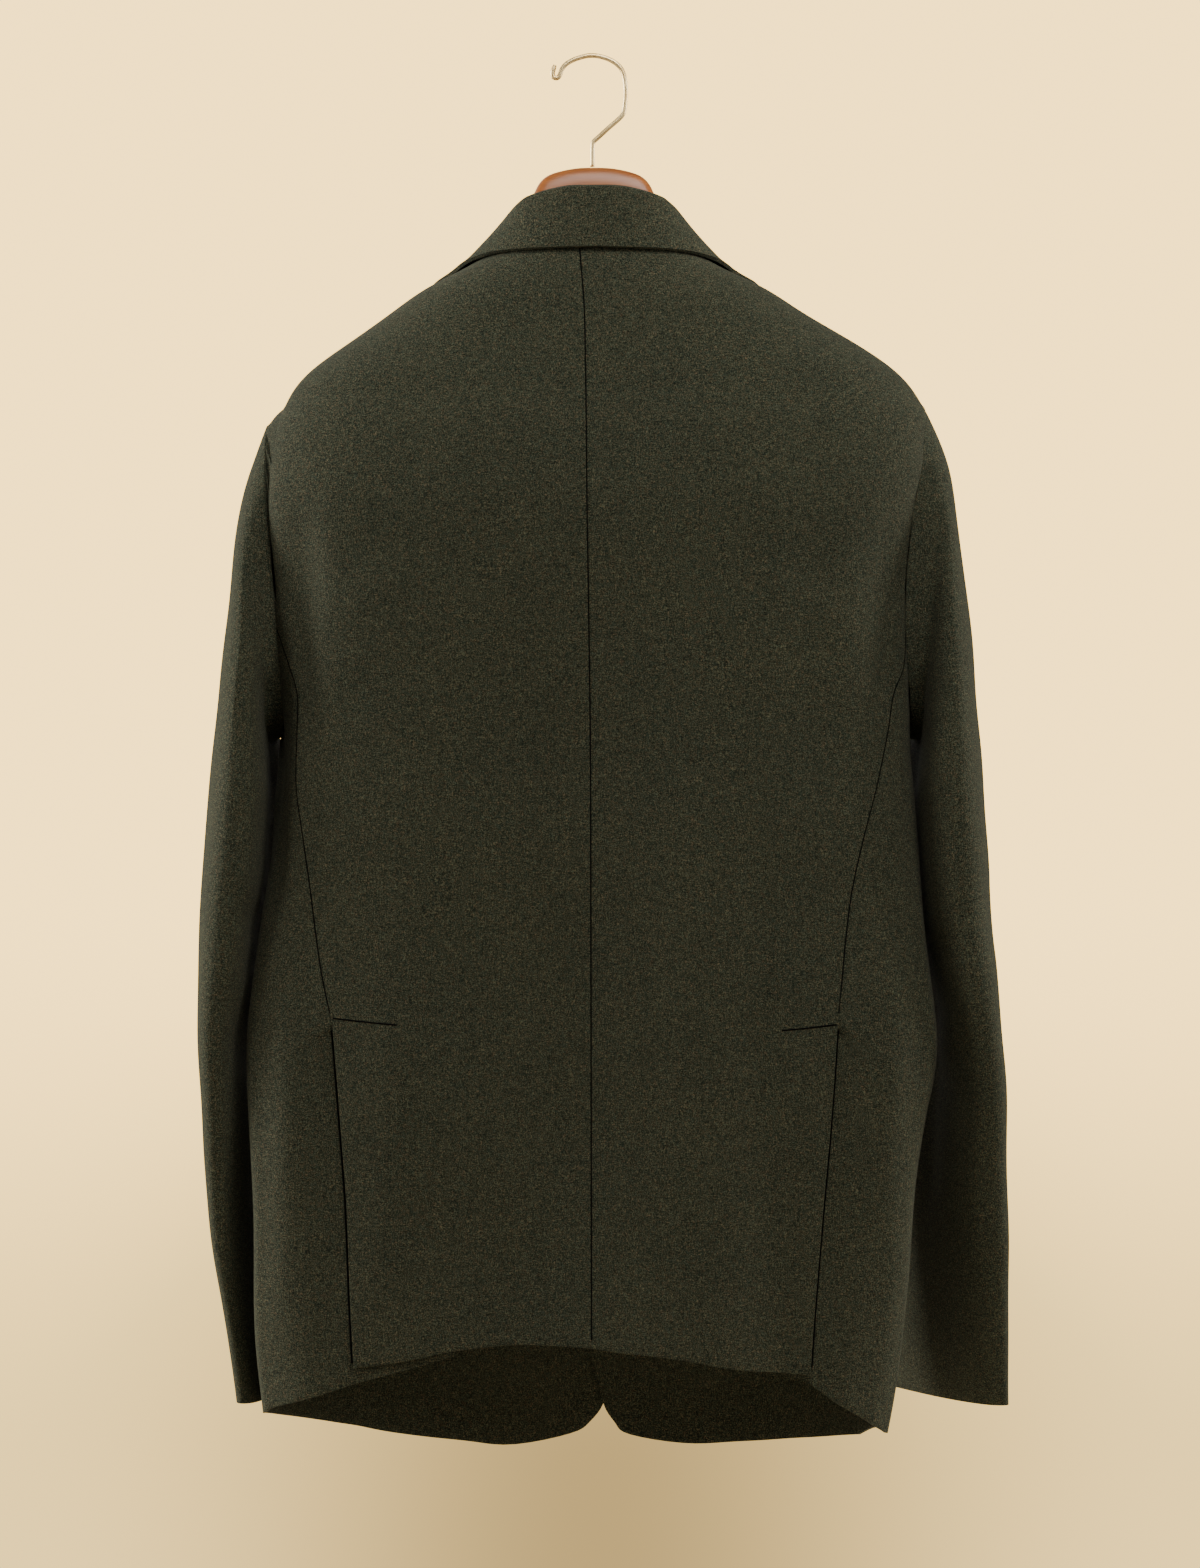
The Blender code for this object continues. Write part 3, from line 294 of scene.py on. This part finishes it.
def make_cloth():
    """The cloth pieces, and a tube of painted shade sunk in the groove of each long seam at the rear.
    """
    everything = BODY + SLEEVES["left"] + SLEEVES["right"]
    meshes = {name: quads_of(name) for name in everything}
    corners = {name: positions(mesh) for name, mesh in meshes.items()}
    walls = {name: wall_of(mesh) for name, mesh in meshes.items()}
    near_body = tree_of(np.concatenate([corners[name] for name in BODY]))
    sleeve_corners = np.concatenate([corners[name] for pair in SLEEVES.values() for name in pair])
    armholes = tree_of([point for point in sleeve_corners if near_body.find(point)[2] < ARMHOLE_REACH])
    close_seams(meshes, walls)
    groups = (
        (BODY, BODY_CREASES, 3),
        (SLEEVES["left"], LEFT_SLEEVE_CREASES, 11),
        (SLEEVES["right"], RIGHT_SLEEVE_CREASES, 12),
    )
    for names, creases, seed in groups:
        slices = slices_of(np.concatenate([corners[name] for name in names]))
        group = slices, creases, seed
        for name in names:
            mesh = smooth_mesh(name, meshes[name], LEVELS.get(name, FINE_LEVELS))
            move_to(mesh, creased(positions(mesh), group, armholes))
            cloth_piece(name, mesh)
        for a, b in REAR_SEAMS:
            if a in names:
                path = creased(seam_path(corners[a], walls[b], slices), group, armholes)
                way, _ = outward(path, slices)
                # a near-black tube standing in for the shade in the seam's groove: painted shade
                tube_piece(f"seam_{a}_{b}", [path - SEAM_SINK * way], SEAM_SHADE_RADIUS, "painted_shade_and_stitch")


# ---- finishes --------------------------------------------------------------------


def srgb(red, green, blue):
    """Linear colour of an sRGB one given as 0 to 255."""
    out = []
    for value in (red, green, blue):
        value /= 255
        out.append(value / 12.92 if value <= 0.04045 else ((value + 0.055) / 1.055) ** 2.4)
    return (*out, 1.0)


def grey(level):
    return (level, level, level, 1.0)


class Nodes:
    """A short way to write a material's nodes."""

    def __init__(self, name):
        self.material = bpy.data.materials.new(name)
        self.material.use_nodes = True
        self.tree = self.material.node_tree
        self.shader = self.tree.nodes["Principled BSDF"]

    def place(self):
        """The place on the object that a pattern is taken from."""
        return self.add("ShaderNodeTexCoord").outputs["Object"]

    def add(self, kind, settings=(), **inputs):
        node = self.tree.nodes.new(kind)
        for key, value in dict(settings).items():
            setattr(node, key, value)
        for key, value in inputs.items():
            self.feed(node, key.replace("_", " "), value)
        return node

    def feed(self, node, socket, value):
        target = node.inputs[socket]
        if isinstance(value, bpy.types.NodeSocket):
            self.tree.links.new(value, target)
        else:
            target.default_value = value

    def maths(self, operation, a, b=0.5, c=0.0):
        node = self.tree.nodes.new("ShaderNodeMath")
        node.operation = operation
        for k, value in enumerate((a, b, c)):
            self.feed(node, k, value)
        return node.outputs[0]

    def noise(self, where, scale, detail=2.0, roughness=0.5, distortion=0.0):
        node = self.add(
            "ShaderNodeTexNoise",
            Vector=where,
            Scale=scale,
            Detail=detail,
            Roughness=roughness,
            Distortion=distortion,
        )
        return node.outputs[0]

    def stretch(self, where, scale):
        node = self.add("ShaderNodeMapping")
        self.feed(node, "Vector", where)
        node.inputs["Scale"].default_value = scale
        return node.outputs[0]

    def ramp(self, value, *stops):
        node = self.add("ShaderNodeValToRGB")
        self.feed(node, 0, value)
        elements = node.color_ramp.elements
        while len(elements) < len(stops):
            elements.new(0.5)
        for element, (place, colour) in zip(elements, stops):
            element.position = place
            element.color = colour
        return node.outputs[0]

    def mix(self, share, a, b, blend="MIX"):
        node = self.add("ShaderNodeMix", {"data_type": "RGBA", "blend_type": blend})
        self.feed(node, 0, share)
        self.feed(node, 6, a)
        self.feed(node, 7, b)
        return node.outputs[2]

    def bump(self, height, distance, strength=1.0):
        node = self.add("ShaderNodeBump", Height=height, Distance=distance, Strength=strength)
        self.feed(self.shader, "Normal", node.outputs[0])


def wool(name):
    """A mottled flannel: olive and brown fibres, fine flecks, and faint ribs both ways."""
    made = Nodes(name)
    place = made.place()
    fibres = made.noise(place, 750.0, 2.0, 0.7)
    broad = made.noise(place, 12.0, 2.0)
    yarn_down = made.noise(made.stretch(place, (1700.0, 1700.0, 260.0)), 1.0, 1.0)
    yarn_across = made.noise(made.stretch(place, (240.0, 240.0, 1700.0)), 1.0, 1.0)
    specks = made.noise(place, 1500.0, 1.0, 0.6)
    base = made.ramp(
        fibres,
        (0.30, srgb(38, 46, 39)),
        (0.45, srgb(45, 49, 40)),
        (0.57, srgb(49, 50, 39)),
        (0.72, srgb(60, 51, 40)),
    )
    flecks = made.ramp(
        specks,
        (0.33, (0.30, 0.31, 0.31, 1)),
        (0.50, (0.95, 0.96, 0.95, 1)),
        (0.67, (2.5, 2.4, 2.1, 1)),
    )
    colour = made.mix(0.9, base, flecks, "MULTIPLY")
    threads = made.maths("ADD", yarn_down, yarn_across)
    threads = made.maths("MULTIPLY", threads, 0.5)
    shade = made.ramp(threads, (0.36, (0.56, 0.56, 0.56, 1)), (0.64, (1.48, 1.48, 1.45, 1)))
    colour = made.mix(0.85, colour, shade, "MULTIPLY")
    wash = made.ramp(broad, (0.3, (0.94, 0.95, 0.96, 1)), (0.7, (1.05, 1.04, 1.03, 1)))
    colour = made.mix(1.0, colour, wash, "MULTIPLY")
    made.feed(made.shader, "Base Color", colour)
    made.feed(made.shader, "Roughness", made.ramp(specks, (0.3, grey(0.98)), (0.7, grey(0.86))))
    made.shader.inputs["Specular IOR Level"].default_value = 0.06
    made.shader.inputs["Sheen Weight"].default_value = 0.03
    made.shader.inputs["Sheen Roughness"].default_value = 0.5
    made.shader.inputs["Sheen Tint"].default_value = (0.9, 0.86, 0.70, 1)
    height = made.maths("MULTIPLY_ADD", specks, 0.8, threads)
    made.bump(height, 0.00045, 0.6)
    return made.material


def thread(name, colour):
    """A twisted thread, in places half as pale again as its colour; the near-black one is the finish
    of the lines of painted shade.
    """
    made = Nodes(name)
    place = made.place()
    twist = made.noise(place, 1400.0, 1.0)
    pale = tuple(min(1.0, value * 1.5) for value in colour[:3]) + (1.0,)
    made.feed(made.shader, "Base Color", made.ramp(twist, (0.3, colour), (0.7, pale)))
    made.shader.inputs["Roughness"].default_value = 0.9
    made.shader.inputs["Specular IOR Level"].default_value = 0.05
    made.bump(twist, 0.0002, 0.6)
    return made.material


def wood_finish():
    """Varnished wood with its grain along the hanger, broad bands and fine pores."""
    made = Nodes("wood_finish")
    place = made.place()
    grain = made.noise(made.stretch(place, (9.0, 120.0, 260.0)), 1.0, 5.0, 0.6, 0.6)
    broad = made.noise(made.stretch(place, (3.0, 26.0, 40.0)), 1.0, 2.0, 0.5, 0.4)
    pores = made.noise(made.stretch(place, (60.0, 1100.0, 1300.0)), 1.0, 1.0)
    colour = made.ramp(
        grain,
        (0.25, srgb(122, 68, 28)),
        (0.5, srgb(146, 86, 38)),
        (0.75, srgb(160, 99, 46)),
    )
    tone = made.ramp(broad, (0.3, (0.86, 0.80, 0.72, 1)), (0.7, (1.06, 1.05, 1.04, 1)))
    colour = made.mix(1.0, colour, tone, "MULTIPLY")
    fine = made.ramp(pores, (0.3, (0.80, 0.76, 0.72, 1)), (0.5, (1, 1, 1, 1)))
    colour = made.mix(0.6, colour, fine, "MULTIPLY")
    made.feed(made.shader, "Base Color", colour)
    made.feed(made.shader, "Roughness", made.ramp(broad, (0.3, grey(0.34)), (0.7, grey(0.46))))
    made.shader.inputs["Coat Weight"].default_value = 0.05
    made.shader.inputs["Coat Roughness"].default_value = 0.25
    made.bump(pores, 0.0001, 0.4)
    return made.material


def brass_finish():
    """Brass wire, clouded in colour, with fine scratches."""
    made = Nodes("brass_finish")
    place = made.place()
    cloud = made.noise(place, 90.0, 3.0, 0.6)
    scratch = made.noise(made.stretch(place, (500.0, 500.0, 2600.0)), 1.0, 2.0)
    colour = made.ramp(cloud, (0.3, (0.80, 0.54, 0.22, 1)), (0.7, (0.98, 0.76, 0.40, 1)))
    made.feed(made.shader, "Base Color", colour)
    made.shader.inputs["Metallic"].default_value = 0.85
    made.feed(made.shader, "Roughness", made.ramp(scratch, (0.3, grey(0.36)), (0.7, grey(0.50))))
    made.bump(scratch, 0.00004, 0.3)
    return made.material


def horn_finish():
    """Dark polished horn with paler streaks."""
    made = Nodes("horn_finish")
    place = made.place()
    streak = made.noise(made.stretch(place, (160.0, 60.0, 260.0)), 1.0, 4.0, 0.6, 1.2)
    colour = made.ramp(
        streak,
        (0.3, srgb(30, 24, 20)),
        (0.5, srgb(52, 41, 32)),
        (0.72, srgb(104, 84, 64)),
    )
    made.feed(made.shader, "Base Color", colour)
    made.shader.inputs["Roughness"].default_value = 0.3
    made.bump(streak, 0.0001, 0.2)
    return made.material


def pale(name, colour, roughness):
    """A plain surface with faint clouds."""
    made = Nodes(name)
    place = made.place()
    cloud = made.noise(place, 3.0, 2.0)
    darker = tuple(value * 0.94 for value in colour[:3]) + (1.0,)
    made.feed(made.shader, "Base Color", made.ramp(cloud, (0.35, darker), (0.65, colour)))
    made.shader.inputs["Roughness"].default_value = roughness
    return made.material


# ---- small pieces -------------------------------------------------------------------


def on_cloth(x, drop):
    """The point of the cloth that is seen first from behind."""
    start = Vector((x * MM, RAY_START, -drop * MM))
    hits = []
    for name in BODY + SLEEVES["left"] + SLEEVES["right"]:
        found, point, _, _ = PIECES[name].ray_cast(start, Vector((0, -1, 0)))
        if found:
            hits.append(point)
    return np.array(max(hits, key=lambda point: point.y))


def panel_reach(name, side, drop):
    """How far to its side a back panel reaches at a drop, in millimetres."""
    for x in np.arange(PAST_PANEL, 0, -REACH_STEP):
        start = Vector((side * x * MM, RAY_START, -drop * MM))
        if PIECES[name].ray_cast(start, Vector((0, -1, 0)))[0]:
            return x
    raise ValueError(f"{name} isn't there at a drop of {drop} mm")


def laid_line(name, knots, radius):
    """A near-black line on the cloth at the rear, through (x, drop) knots, in the finish of painted
    shade.
    """
    knots = np.array(knots, float)
    lengths = np.concatenate([[0], np.cumsum(np.linalg.norm(np.diff(knots, axis=0), axis=1))])
    places = np.arange(0, lengths[-1], LINE_STEP)
    x, drop = (np.interp(places, lengths, knots[:, k]) for k in (0, 1))
    tube_piece(name, [[on_cloth(*place) for place in zip(x, drop)]], radius, "painted_shade_and_stitch")


def tube_piece(name, paths, radius, finish):
    """Round tubes along the paths, with a radius in millimetres: threads, and lines of painted shade.
    """
    curve = bpy.data.curves.new(name, "CURVE")
    curve.dimensions = "3D"
    curve.bevel_depth = radius * MM
    curve.bevel_resolution = 2
    curve.use_fill_caps = True
    for path in paths:
        spline = curve.splines.new("POLY")
        spline.points.add(len(path) - 1)
        for k, point in enumerate(path):
            spline.points[k].co = (*point, 1)
    curve.materials.append(FINISHES[finish])
    piece = bpy.data.objects.new(name, curve)
    bpy.context.scene.collection.objects.link(piece)
    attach(piece, "root")


def ring_mesh(name, rings):
    """A closed mesh through rings of corners, from its first ring to its last."""
    sides = len(rings[0])
    corners = [list(corner) for ring in rings for corner in ring]
    faces = [list(range(sides)), list(range(len(corners) - sides, len(corners)))[::-1]]
    for i in range(len(rings) - 1):
        for k in range(sides):
            a, b = i * sides + k, i * sides + (k + 1) % sides
            faces.append([a, a + sides, b + sides, b])
    mesh = bpy.data.meshes.new(name)
    mesh.from_pydata(corners, [], faces)
    work = bmesh.new()
    work.from_mesh(mesh)
    bmesh.ops.recalc_face_normals(work, faces=work.faces)
    work.to_mesh(mesh)
    work.free()
    return mesh


def make_button(name):
    """A button with a raised rim, where its solid is, and its crossed thread."""
    points = positions(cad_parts[name].data)
    centre = (points.min(0) + points.max(0)) / 2
    _, _, ways = np.linalg.svd(points - points.mean(0), full_matrices=False)
    normal = ways[2] if ways[2][1] < 0 else -ways[2]
    across = np.cross(normal, [0, 0, 1])
    across /= np.linalg.norm(across)
    up = np.cross(across, normal)
    start = centre - BUTTON_THICK / 2 * MM * normal

    def at(radius, height, turn):
        flat = math.cos(turn) * across + math.sin(turn) * up
        return start + (height * normal + radius * flat) * MM

    turns = [2 * math.pi * k / BUTTON_SIDES for k in range(BUTTON_SIDES)]
    rings = [[at(radius, height, turn) for turn in turns] for radius, height in BUTTON_PROFILE]
    solid_piece("horn_" + name, ring_mesh(name, rings), name, "horn")
    shares = np.linspace(0, 1, STITCH_POINTS)
    paths = []
    for k, ends in enumerate(STITCH_TURNS):
        near, far = (at(STITCH_REACH, BUTTON_FLOOR, math.radians(turn)) for turn in ends)
        middle = start + (BUTTON_FLOOR + STITCH_RISE + STITCH_CROSSING * k) * MM * normal
        paths.append([near * (1 - t) ** 2 + middle * 2 * t * (1 - t) + far * t * t for t in shares])
    tube_piece(name + "_thread", paths, STITCH_RADIUS, "thread")


def solid_piece(name, mesh, node, finish):
    mesh.materials.clear()
    mesh.materials.append(FINISHES[finish])
    mesh.shade_smooth()
    mesh.set_sharp_from_angle(angle=SHARP_ANGLE)
    piece = bpy.data.objects.new(name, mesh)
    bpy.context.scene.collection.objects.link(piece)
    declare(piece, node)


# A button and its stitches, in millimetres and degrees
BUTTON_THICK, BUTTON_FLOOR = 3.4, 2.6
BUTTON_SIDES = 48
STITCH_TURNS = (45, 225), (135, 315)
STITCH_REACH, STITCH_RADIUS, STITCH_POINTS = 2.3, 0.45, 9
STITCH_RISE, STITCH_CROSSING = 0.9, 0.1
SHARP_ANGLE = math.radians(45)
BUTTON_PROFILE = [  # radius, height
    (0.4, 0.1), (7.0, 0.0), (8.6, 0.25), (9.5, 0.8), (10, 1.6), (9.9, 2.3), (9.5, 3.0), (8.9, 3.35),
    (8.2, 3.4), (7.6, 3.15), (7.1, 2.8), (6.2, 2.62), (3.0, BUTTON_FLOOR), (0.4, BUTTON_FLOOR),
]

# ---- the object ---------------------------------------------------------------------

# Soft creases in millimetres: on the rear, top and foot as (x, drop), half width,
# rise (a trough is below 0), and how far the middle bows sideways
BODY_CREASES = [
    (True, (0, 145), (0, 440), 42, -2.6, 0),
    (True, (184, 270), (176, 440), 10, 0.3, 3),
    (True, (70, 190), (118, 350), 30, 1.6, 5),
    (True, (171, 380), (100, 335), 13, 1.0, 5),
    (True, (176, 440), (96, 400), 14, -0.9, 6),
    (True, (0, 290), (-4, 870), 54, -8.5, 2),
    (True, (16, 330), (14, 850), 24, -2.4, 3),
    (True, (132, 590), (140, 852), 18, 2.2, 3),
    (True, (90, 520), (96, 850), 14, -0.8, 4),
    (True, (-56, 400), (-50, 858), 18, 2.8, -4),
    (True, (-112, 420), (-112, 852), 12, -0.9, -3),
    (True, (-120, 520), (-124, 856), 12, 1.0, 2),
    (True, (-204, 330), (-193, 455), 8, -1.0, -3),
    (True, (-146, 290), (-140, 520), 18, -1.6, -3),
    (True, (-182, 290), (-174, 450), 11, 0.3, -3),
    (True, (-81, 189), (-126, 350), 30, 1.6, -5),
    (True, (-176, 390), (-100, 345), 13, 1.0, -5),
    (True, (202, 560), (206, 880), 11, 1.8, 3),
    (True, (176, 620), (171, 885), 9, -1.8, 2),
    (True, (-198, 560), (-196, 890), 13, 3.2, -3),
    (True, (-160, 640), (-158, 870), 10, -2.4, -2),
    (False, (120, 300), (108, 620), 22, 1.6, 5),
    (False, (70, 560), (78, 900), 15, -1.6, 4),
    (False, (104, 600), (112, 900), 14, 1.4, 4),
    (False, (150, 430), (120, 640), 15, -1.4, 5),
    (False, (36, 560), (30, 900), 16, 1.0, 3),
    (False, (-122, 300), (-110, 620), 22, 1.6, -5),
    (False, (-72, 560), (-82, 900), 15, -1.6, -4),
    (False, (-106, 600), (-116, 900), 14, 1.4, -4),
    (False, (-150, 430), (-122, 640), 15, -1.4, -5),
]
LEFT_SLEEVE_CREASES = [
    (True, (229, 305), (237, 470), 7, 1.4, 3),
    (True, (215, 280), (222, 493), 6, -2.0, 4),
    (True, (247, 540), (213, 600), 8, -1.6, 4),
    (True, (249, 590), (217, 652), 8, 1.6, 4),
    (True, (246, 640), (222, 690), 7, -1.2, 4),
    (True, (232, 640), (234, 860), 8, 1.4, 3),
    (False, (252, 420), (226, 560), 9, -1.2, 5),
    (False, (250, 520), (226, 600), 9, 1.2, 5),
]
RIGHT_SLEEVE_CREASES = [
    (True, (-229, 305), (-240, 470), 7, 1.3, -3),
    (True, (-214, 350), (-221, 493), 6, -1.8, -4),
    (True, (-258, 540), (-226, 612), 9, -1.6, -4),
    (True, (-261, 585), (-230, 683), 9, 1.6, -4),
    (True, (-226, 590), (-224, 790), 7, -3.0, -2),
    (True, (-246, 670), (-253, 860), 10, 1.6, -4),
    (False, (-256, 420), (-232, 560), 9, -1.2, -5),
    (False, (-256, 520), (-232, 600), 9, 1.2, -5),
]
FINISHES = {
    "cloth": wool("wool"),
    "horn": horn_finish(),
    "wood": wood_finish(),
    "brass": brass_finish(),
    "thread": thread("thread_dark", srgb(28, 28, 20)),
    # near-black painted shade: lines in the seams' grooves and beside the vents' edges; the real vent
    # stitches are drawn in it too
    "painted_shade_and_stitch": thread("painted_shade_and_stitch_black", srgb(5, 5, 4)),
}


def build_object():
    make_cloth()
    for name, finish in (("hanger", "wood"), ("hook", "brass")):
        mesh = smooth_mesh(name, quads_of(name), PLAIN_LEVELS)
        solid_piece("piece_" + name, mesh, name, finish)
    for name in ("button_upper", "button_lower"):
        make_button(name)


def add_stitches_and_vent_shadows():
    """The stitches across the vents' tops, and a line of painted shadow beside the lower part of each
    vent's edge.
    """
    for name, knots, radius in VENT_STITCHES:
        laid_line(name, knots, radius)
    for name, panel, side, foot, radius in VENT_EDGE_SHADOWS:
        drops = np.linspace(VENT_EDGE_TOP, foot, VENT_EDGE_KNOTS)
        off = radius + VENT_EDGE_GAP
        knots = [(side * (panel_reach(panel, side, drop) + off), drop) for drop in drops]
        # a near-black line of painted shadow beside the back panel's edge
        laid_line(name, knots, radius)


# Real stitches, drawn in the near-black of painted shade. Name, knots as (x, drop), and radius, in
# millimetres.
VENT_STITCHES = [
    ("vent_stitch_left", [(169.5, 635), (150, 637), (127, 639)], 0.5),
    ("vent_stitch_right", [(-157.5, 639), (-140, 641), (-121, 642.6)], 0.5),
]
# Lines of painted shadow beside the vents' edges. Name, the panel that it runs beside, its side, the
# drop of its lower end, and radius.
VENT_EDGE_SHADOWS = [
    ("vent_edge_shadow_left", "back_left", 1, 859, 0.65),
    ("vent_edge_shadow_right", "back_right", -1, 863, 0.5),
]


# ---- the studio ---------------------------------------------------------------------


def studio_world():
    """A soft even light. The camera itself sees a cream wall with painted shade that darkens it
    towards its foot, most in the middle.
    """
    world = bpy.data.worlds.new("studio")
    world.use_nodes = True
    tree = world.node_tree

    def maths(operation, a, b=0.0):
        node = tree.nodes.new("ShaderNodeMath")
        node.operation = operation
        for socket, value in zip(node.inputs, (a, b)):
            if isinstance(value, bpy.types.NodeSocket):
                tree.links.new(value, socket)
            else:
                socket.default_value = value
        return node.outputs[0]

    def ease(value, start, end):
        node = tree.nodes.new("ShaderNodeMapRange")
        node.interpolation_type = "SMOOTHSTEP"
        node.inputs["From Min"].default_value = start
        node.inputs["From Max"].default_value = end
        tree.links.new(value, node.inputs[0])
        return node.outputs[0]

    where = tree.nodes.new("ShaderNodeTexCoord")
    split = tree.nodes.new("ShaderNodeSeparateXYZ")
    tree.links.new(where.outputs["Generated"], split.inputs[0])
    # painted shade on the wall, deepest low in the middle behind the jacket
    foot = ease(split.outputs[2], *SHADE_FOOT)
    middle = ease(maths("ABSOLUTE", split.outputs[0]), *SHADE_MIDDLE)
    share = maths("ADD", SHADE_EVERYWHERE, maths("MULTIPLY", middle, 1 - SHADE_EVERYWHERE))
    shadow = maths("MULTIPLY", foot, share)
    wall = tree.nodes.new("ShaderNodeValToRGB")
    tree.links.new(shadow, wall.inputs[0])
    elements = wall.color_ramp.elements
    elements.new(0.5)
    for element, (place, colour) in zip(elements, BACKDROP):
        element.position = place
        element.color = (*colour, 1)
    seen = tree.nodes.new("ShaderNodeBackground")
    seen.inputs["Strength"].default_value = BACKDROP_STRENGTH
    tree.links.new(wall.outputs[0], seen.inputs["Color"])
    soft = tree.nodes["Background"]
    soft.inputs["Color"].default_value = SOFT_COLOUR
    soft.inputs["Strength"].default_value = SOFT_LIGHT
    path = tree.nodes.new("ShaderNodeLightPath")
    both = tree.nodes.new("ShaderNodeMixShader")
    tree.links.new(path.outputs["Is Camera Ray"], both.inputs[0])
    tree.links.new(soft.outputs[0], both.inputs[1])
    tree.links.new(seen.outputs[0], both.inputs[2])
    tree.links.new(both.outputs[0], tree.nodes["World Output"].inputs["Surface"])
    return world


def add_lights():
    """Rectangular lamps, each turned to the point that it aims at."""
    scene = bpy.context.scene
    scene.world = studio_world()
    for name, place, aim, size, power, colour in LIGHTS:
        lamp = bpy.data.lights.new(name, "AREA")
        lamp.shape = "RECTANGLE"
        lamp.size, lamp.size_y = size
        lamp.energy = power
        lamp.color = colour
        obj = bpy.data.objects.new(name, lamp)
        obj.location = place
        obj.rotation_euler = (Vector(aim) - Vector(place)).to_track_quat("-Z", "Y").to_euler()
        scene.collection.objects.link(obj)


SOFT_LIGHT = 0.06
SOFT_COLOUR = (1.0, 0.97, 0.92, 1)
BACKDROP_STRENGTH = 4.0
BACKDROP = [  # how deep the painted shade, and the wall's colour
    (0.0, (0.97, 0.64, 0.20)),
    (0.42, (0.50, 0.345, 0.118)),
    (1.0, (0.184, 0.1245, 0.0456)),
]
SHADE_FOOT = -0.02, -0.15  # how far down the painted shade starts and is full, as a direction's z
SHADE_MIDDLE = 0.13, 0.0  # how far out its darkest part ends and starts, as a direction's x
SHADE_EVERYWHERE = 0.42  # the share of the painted shade that is not in the middle alone
LIGHTS = [  # name, place, aim, size in metres, power in watts, colour
    ("key_left", (4.7, 1.15, 0.9), (0, 0, -0.45), (1.4, 1.8), 86, (1.0, 0.98, 0.94)),
    ("fill_right", (-2.4, 3.2, 0.9), (0, 0, -0.45), (1.4, 1.4), 37, (1.0, 0.97, 0.92)),
    ("top", (-0.3, 1.0, 1.15), (0, 0, -0.2), (1.4, 0.8), 36, (1.0, 0.99, 0.96)),
    ("rim_left", (3.0, -0.5, 0.1), (0.2, 0, -0.5), (1.0, 1.8), 165, (1.0, 0.98, 0.94)),
    ("rim_right", (-3.0, -0.5, 0.1), (-0.2, 0, -0.5), (1.0, 1.8), 100, (1.0, 0.97, 0.93)),
    ("front_fill", (0.3, -2.4, 0.4), (0, 0, -0.5), (2.0, 1.8), 20, (1.0, 0.98, 0.95)),
]


FLOOR_LOW, FLOOR_HIGH = (-1.5, -1.3), (1.5, 1.5)
FLOOR_Z = -1.4
FLOOR_COLOUR = srgb(226, 212, 190)
CAMERA_PLACE = (-0.004, 3.0, -0.4828)
CAMERA_RISE, CAMERA_TURN = math.radians(90), math.radians(180)
SENSOR = 36.0  # millimetres, along the picture's height
VIEW_HEIGHT = 1.0427  # metres seen from top to bottom, at the hook's distance


def add_floor():
    """A plain pale floor under the hanging jacket."""
    (x0, y0), (x1, y1) = FLOOR_LOW, FLOOR_HIGH
    corners = [(x0, y0, FLOOR_Z), (x1, y0, FLOOR_Z), (x1, y1, FLOOR_Z), (x0, y1, FLOOR_Z)]
    mesh = bpy.data.meshes.new("floor")
    mesh.from_pydata(corners, [], [(0, 1, 2, 3)])
    mesh.materials.append(pale("floor_pale", FLOOR_COLOUR, 0.8))
    floor = bpy.data.objects.new("floor", mesh)
    bpy.context.scene.collection.objects.link(floor)


def add_camera():
    """A level camera straight behind the jacket, as in the photograph."""
    data = bpy.data.cameras.new("camera")
    data.sensor_fit = "VERTICAL"
    data.sensor_height = SENSOR
    data.lens = SENSOR * CAMERA_PLACE[1] / VIEW_HEIGHT
    data.clip_end = 50
    camera = bpy.data.objects.new("camera", data)
    camera.location = CAMERA_PLACE
    camera.rotation_euler = (CAMERA_RISE, 0, CAMERA_TURN)
    bpy.context.scene.collection.objects.link(camera)
    bpy.context.scene.camera = camera


build_object()
add_stitches_and_vent_shadows()
add_lights()
add_floor()
add_camera()
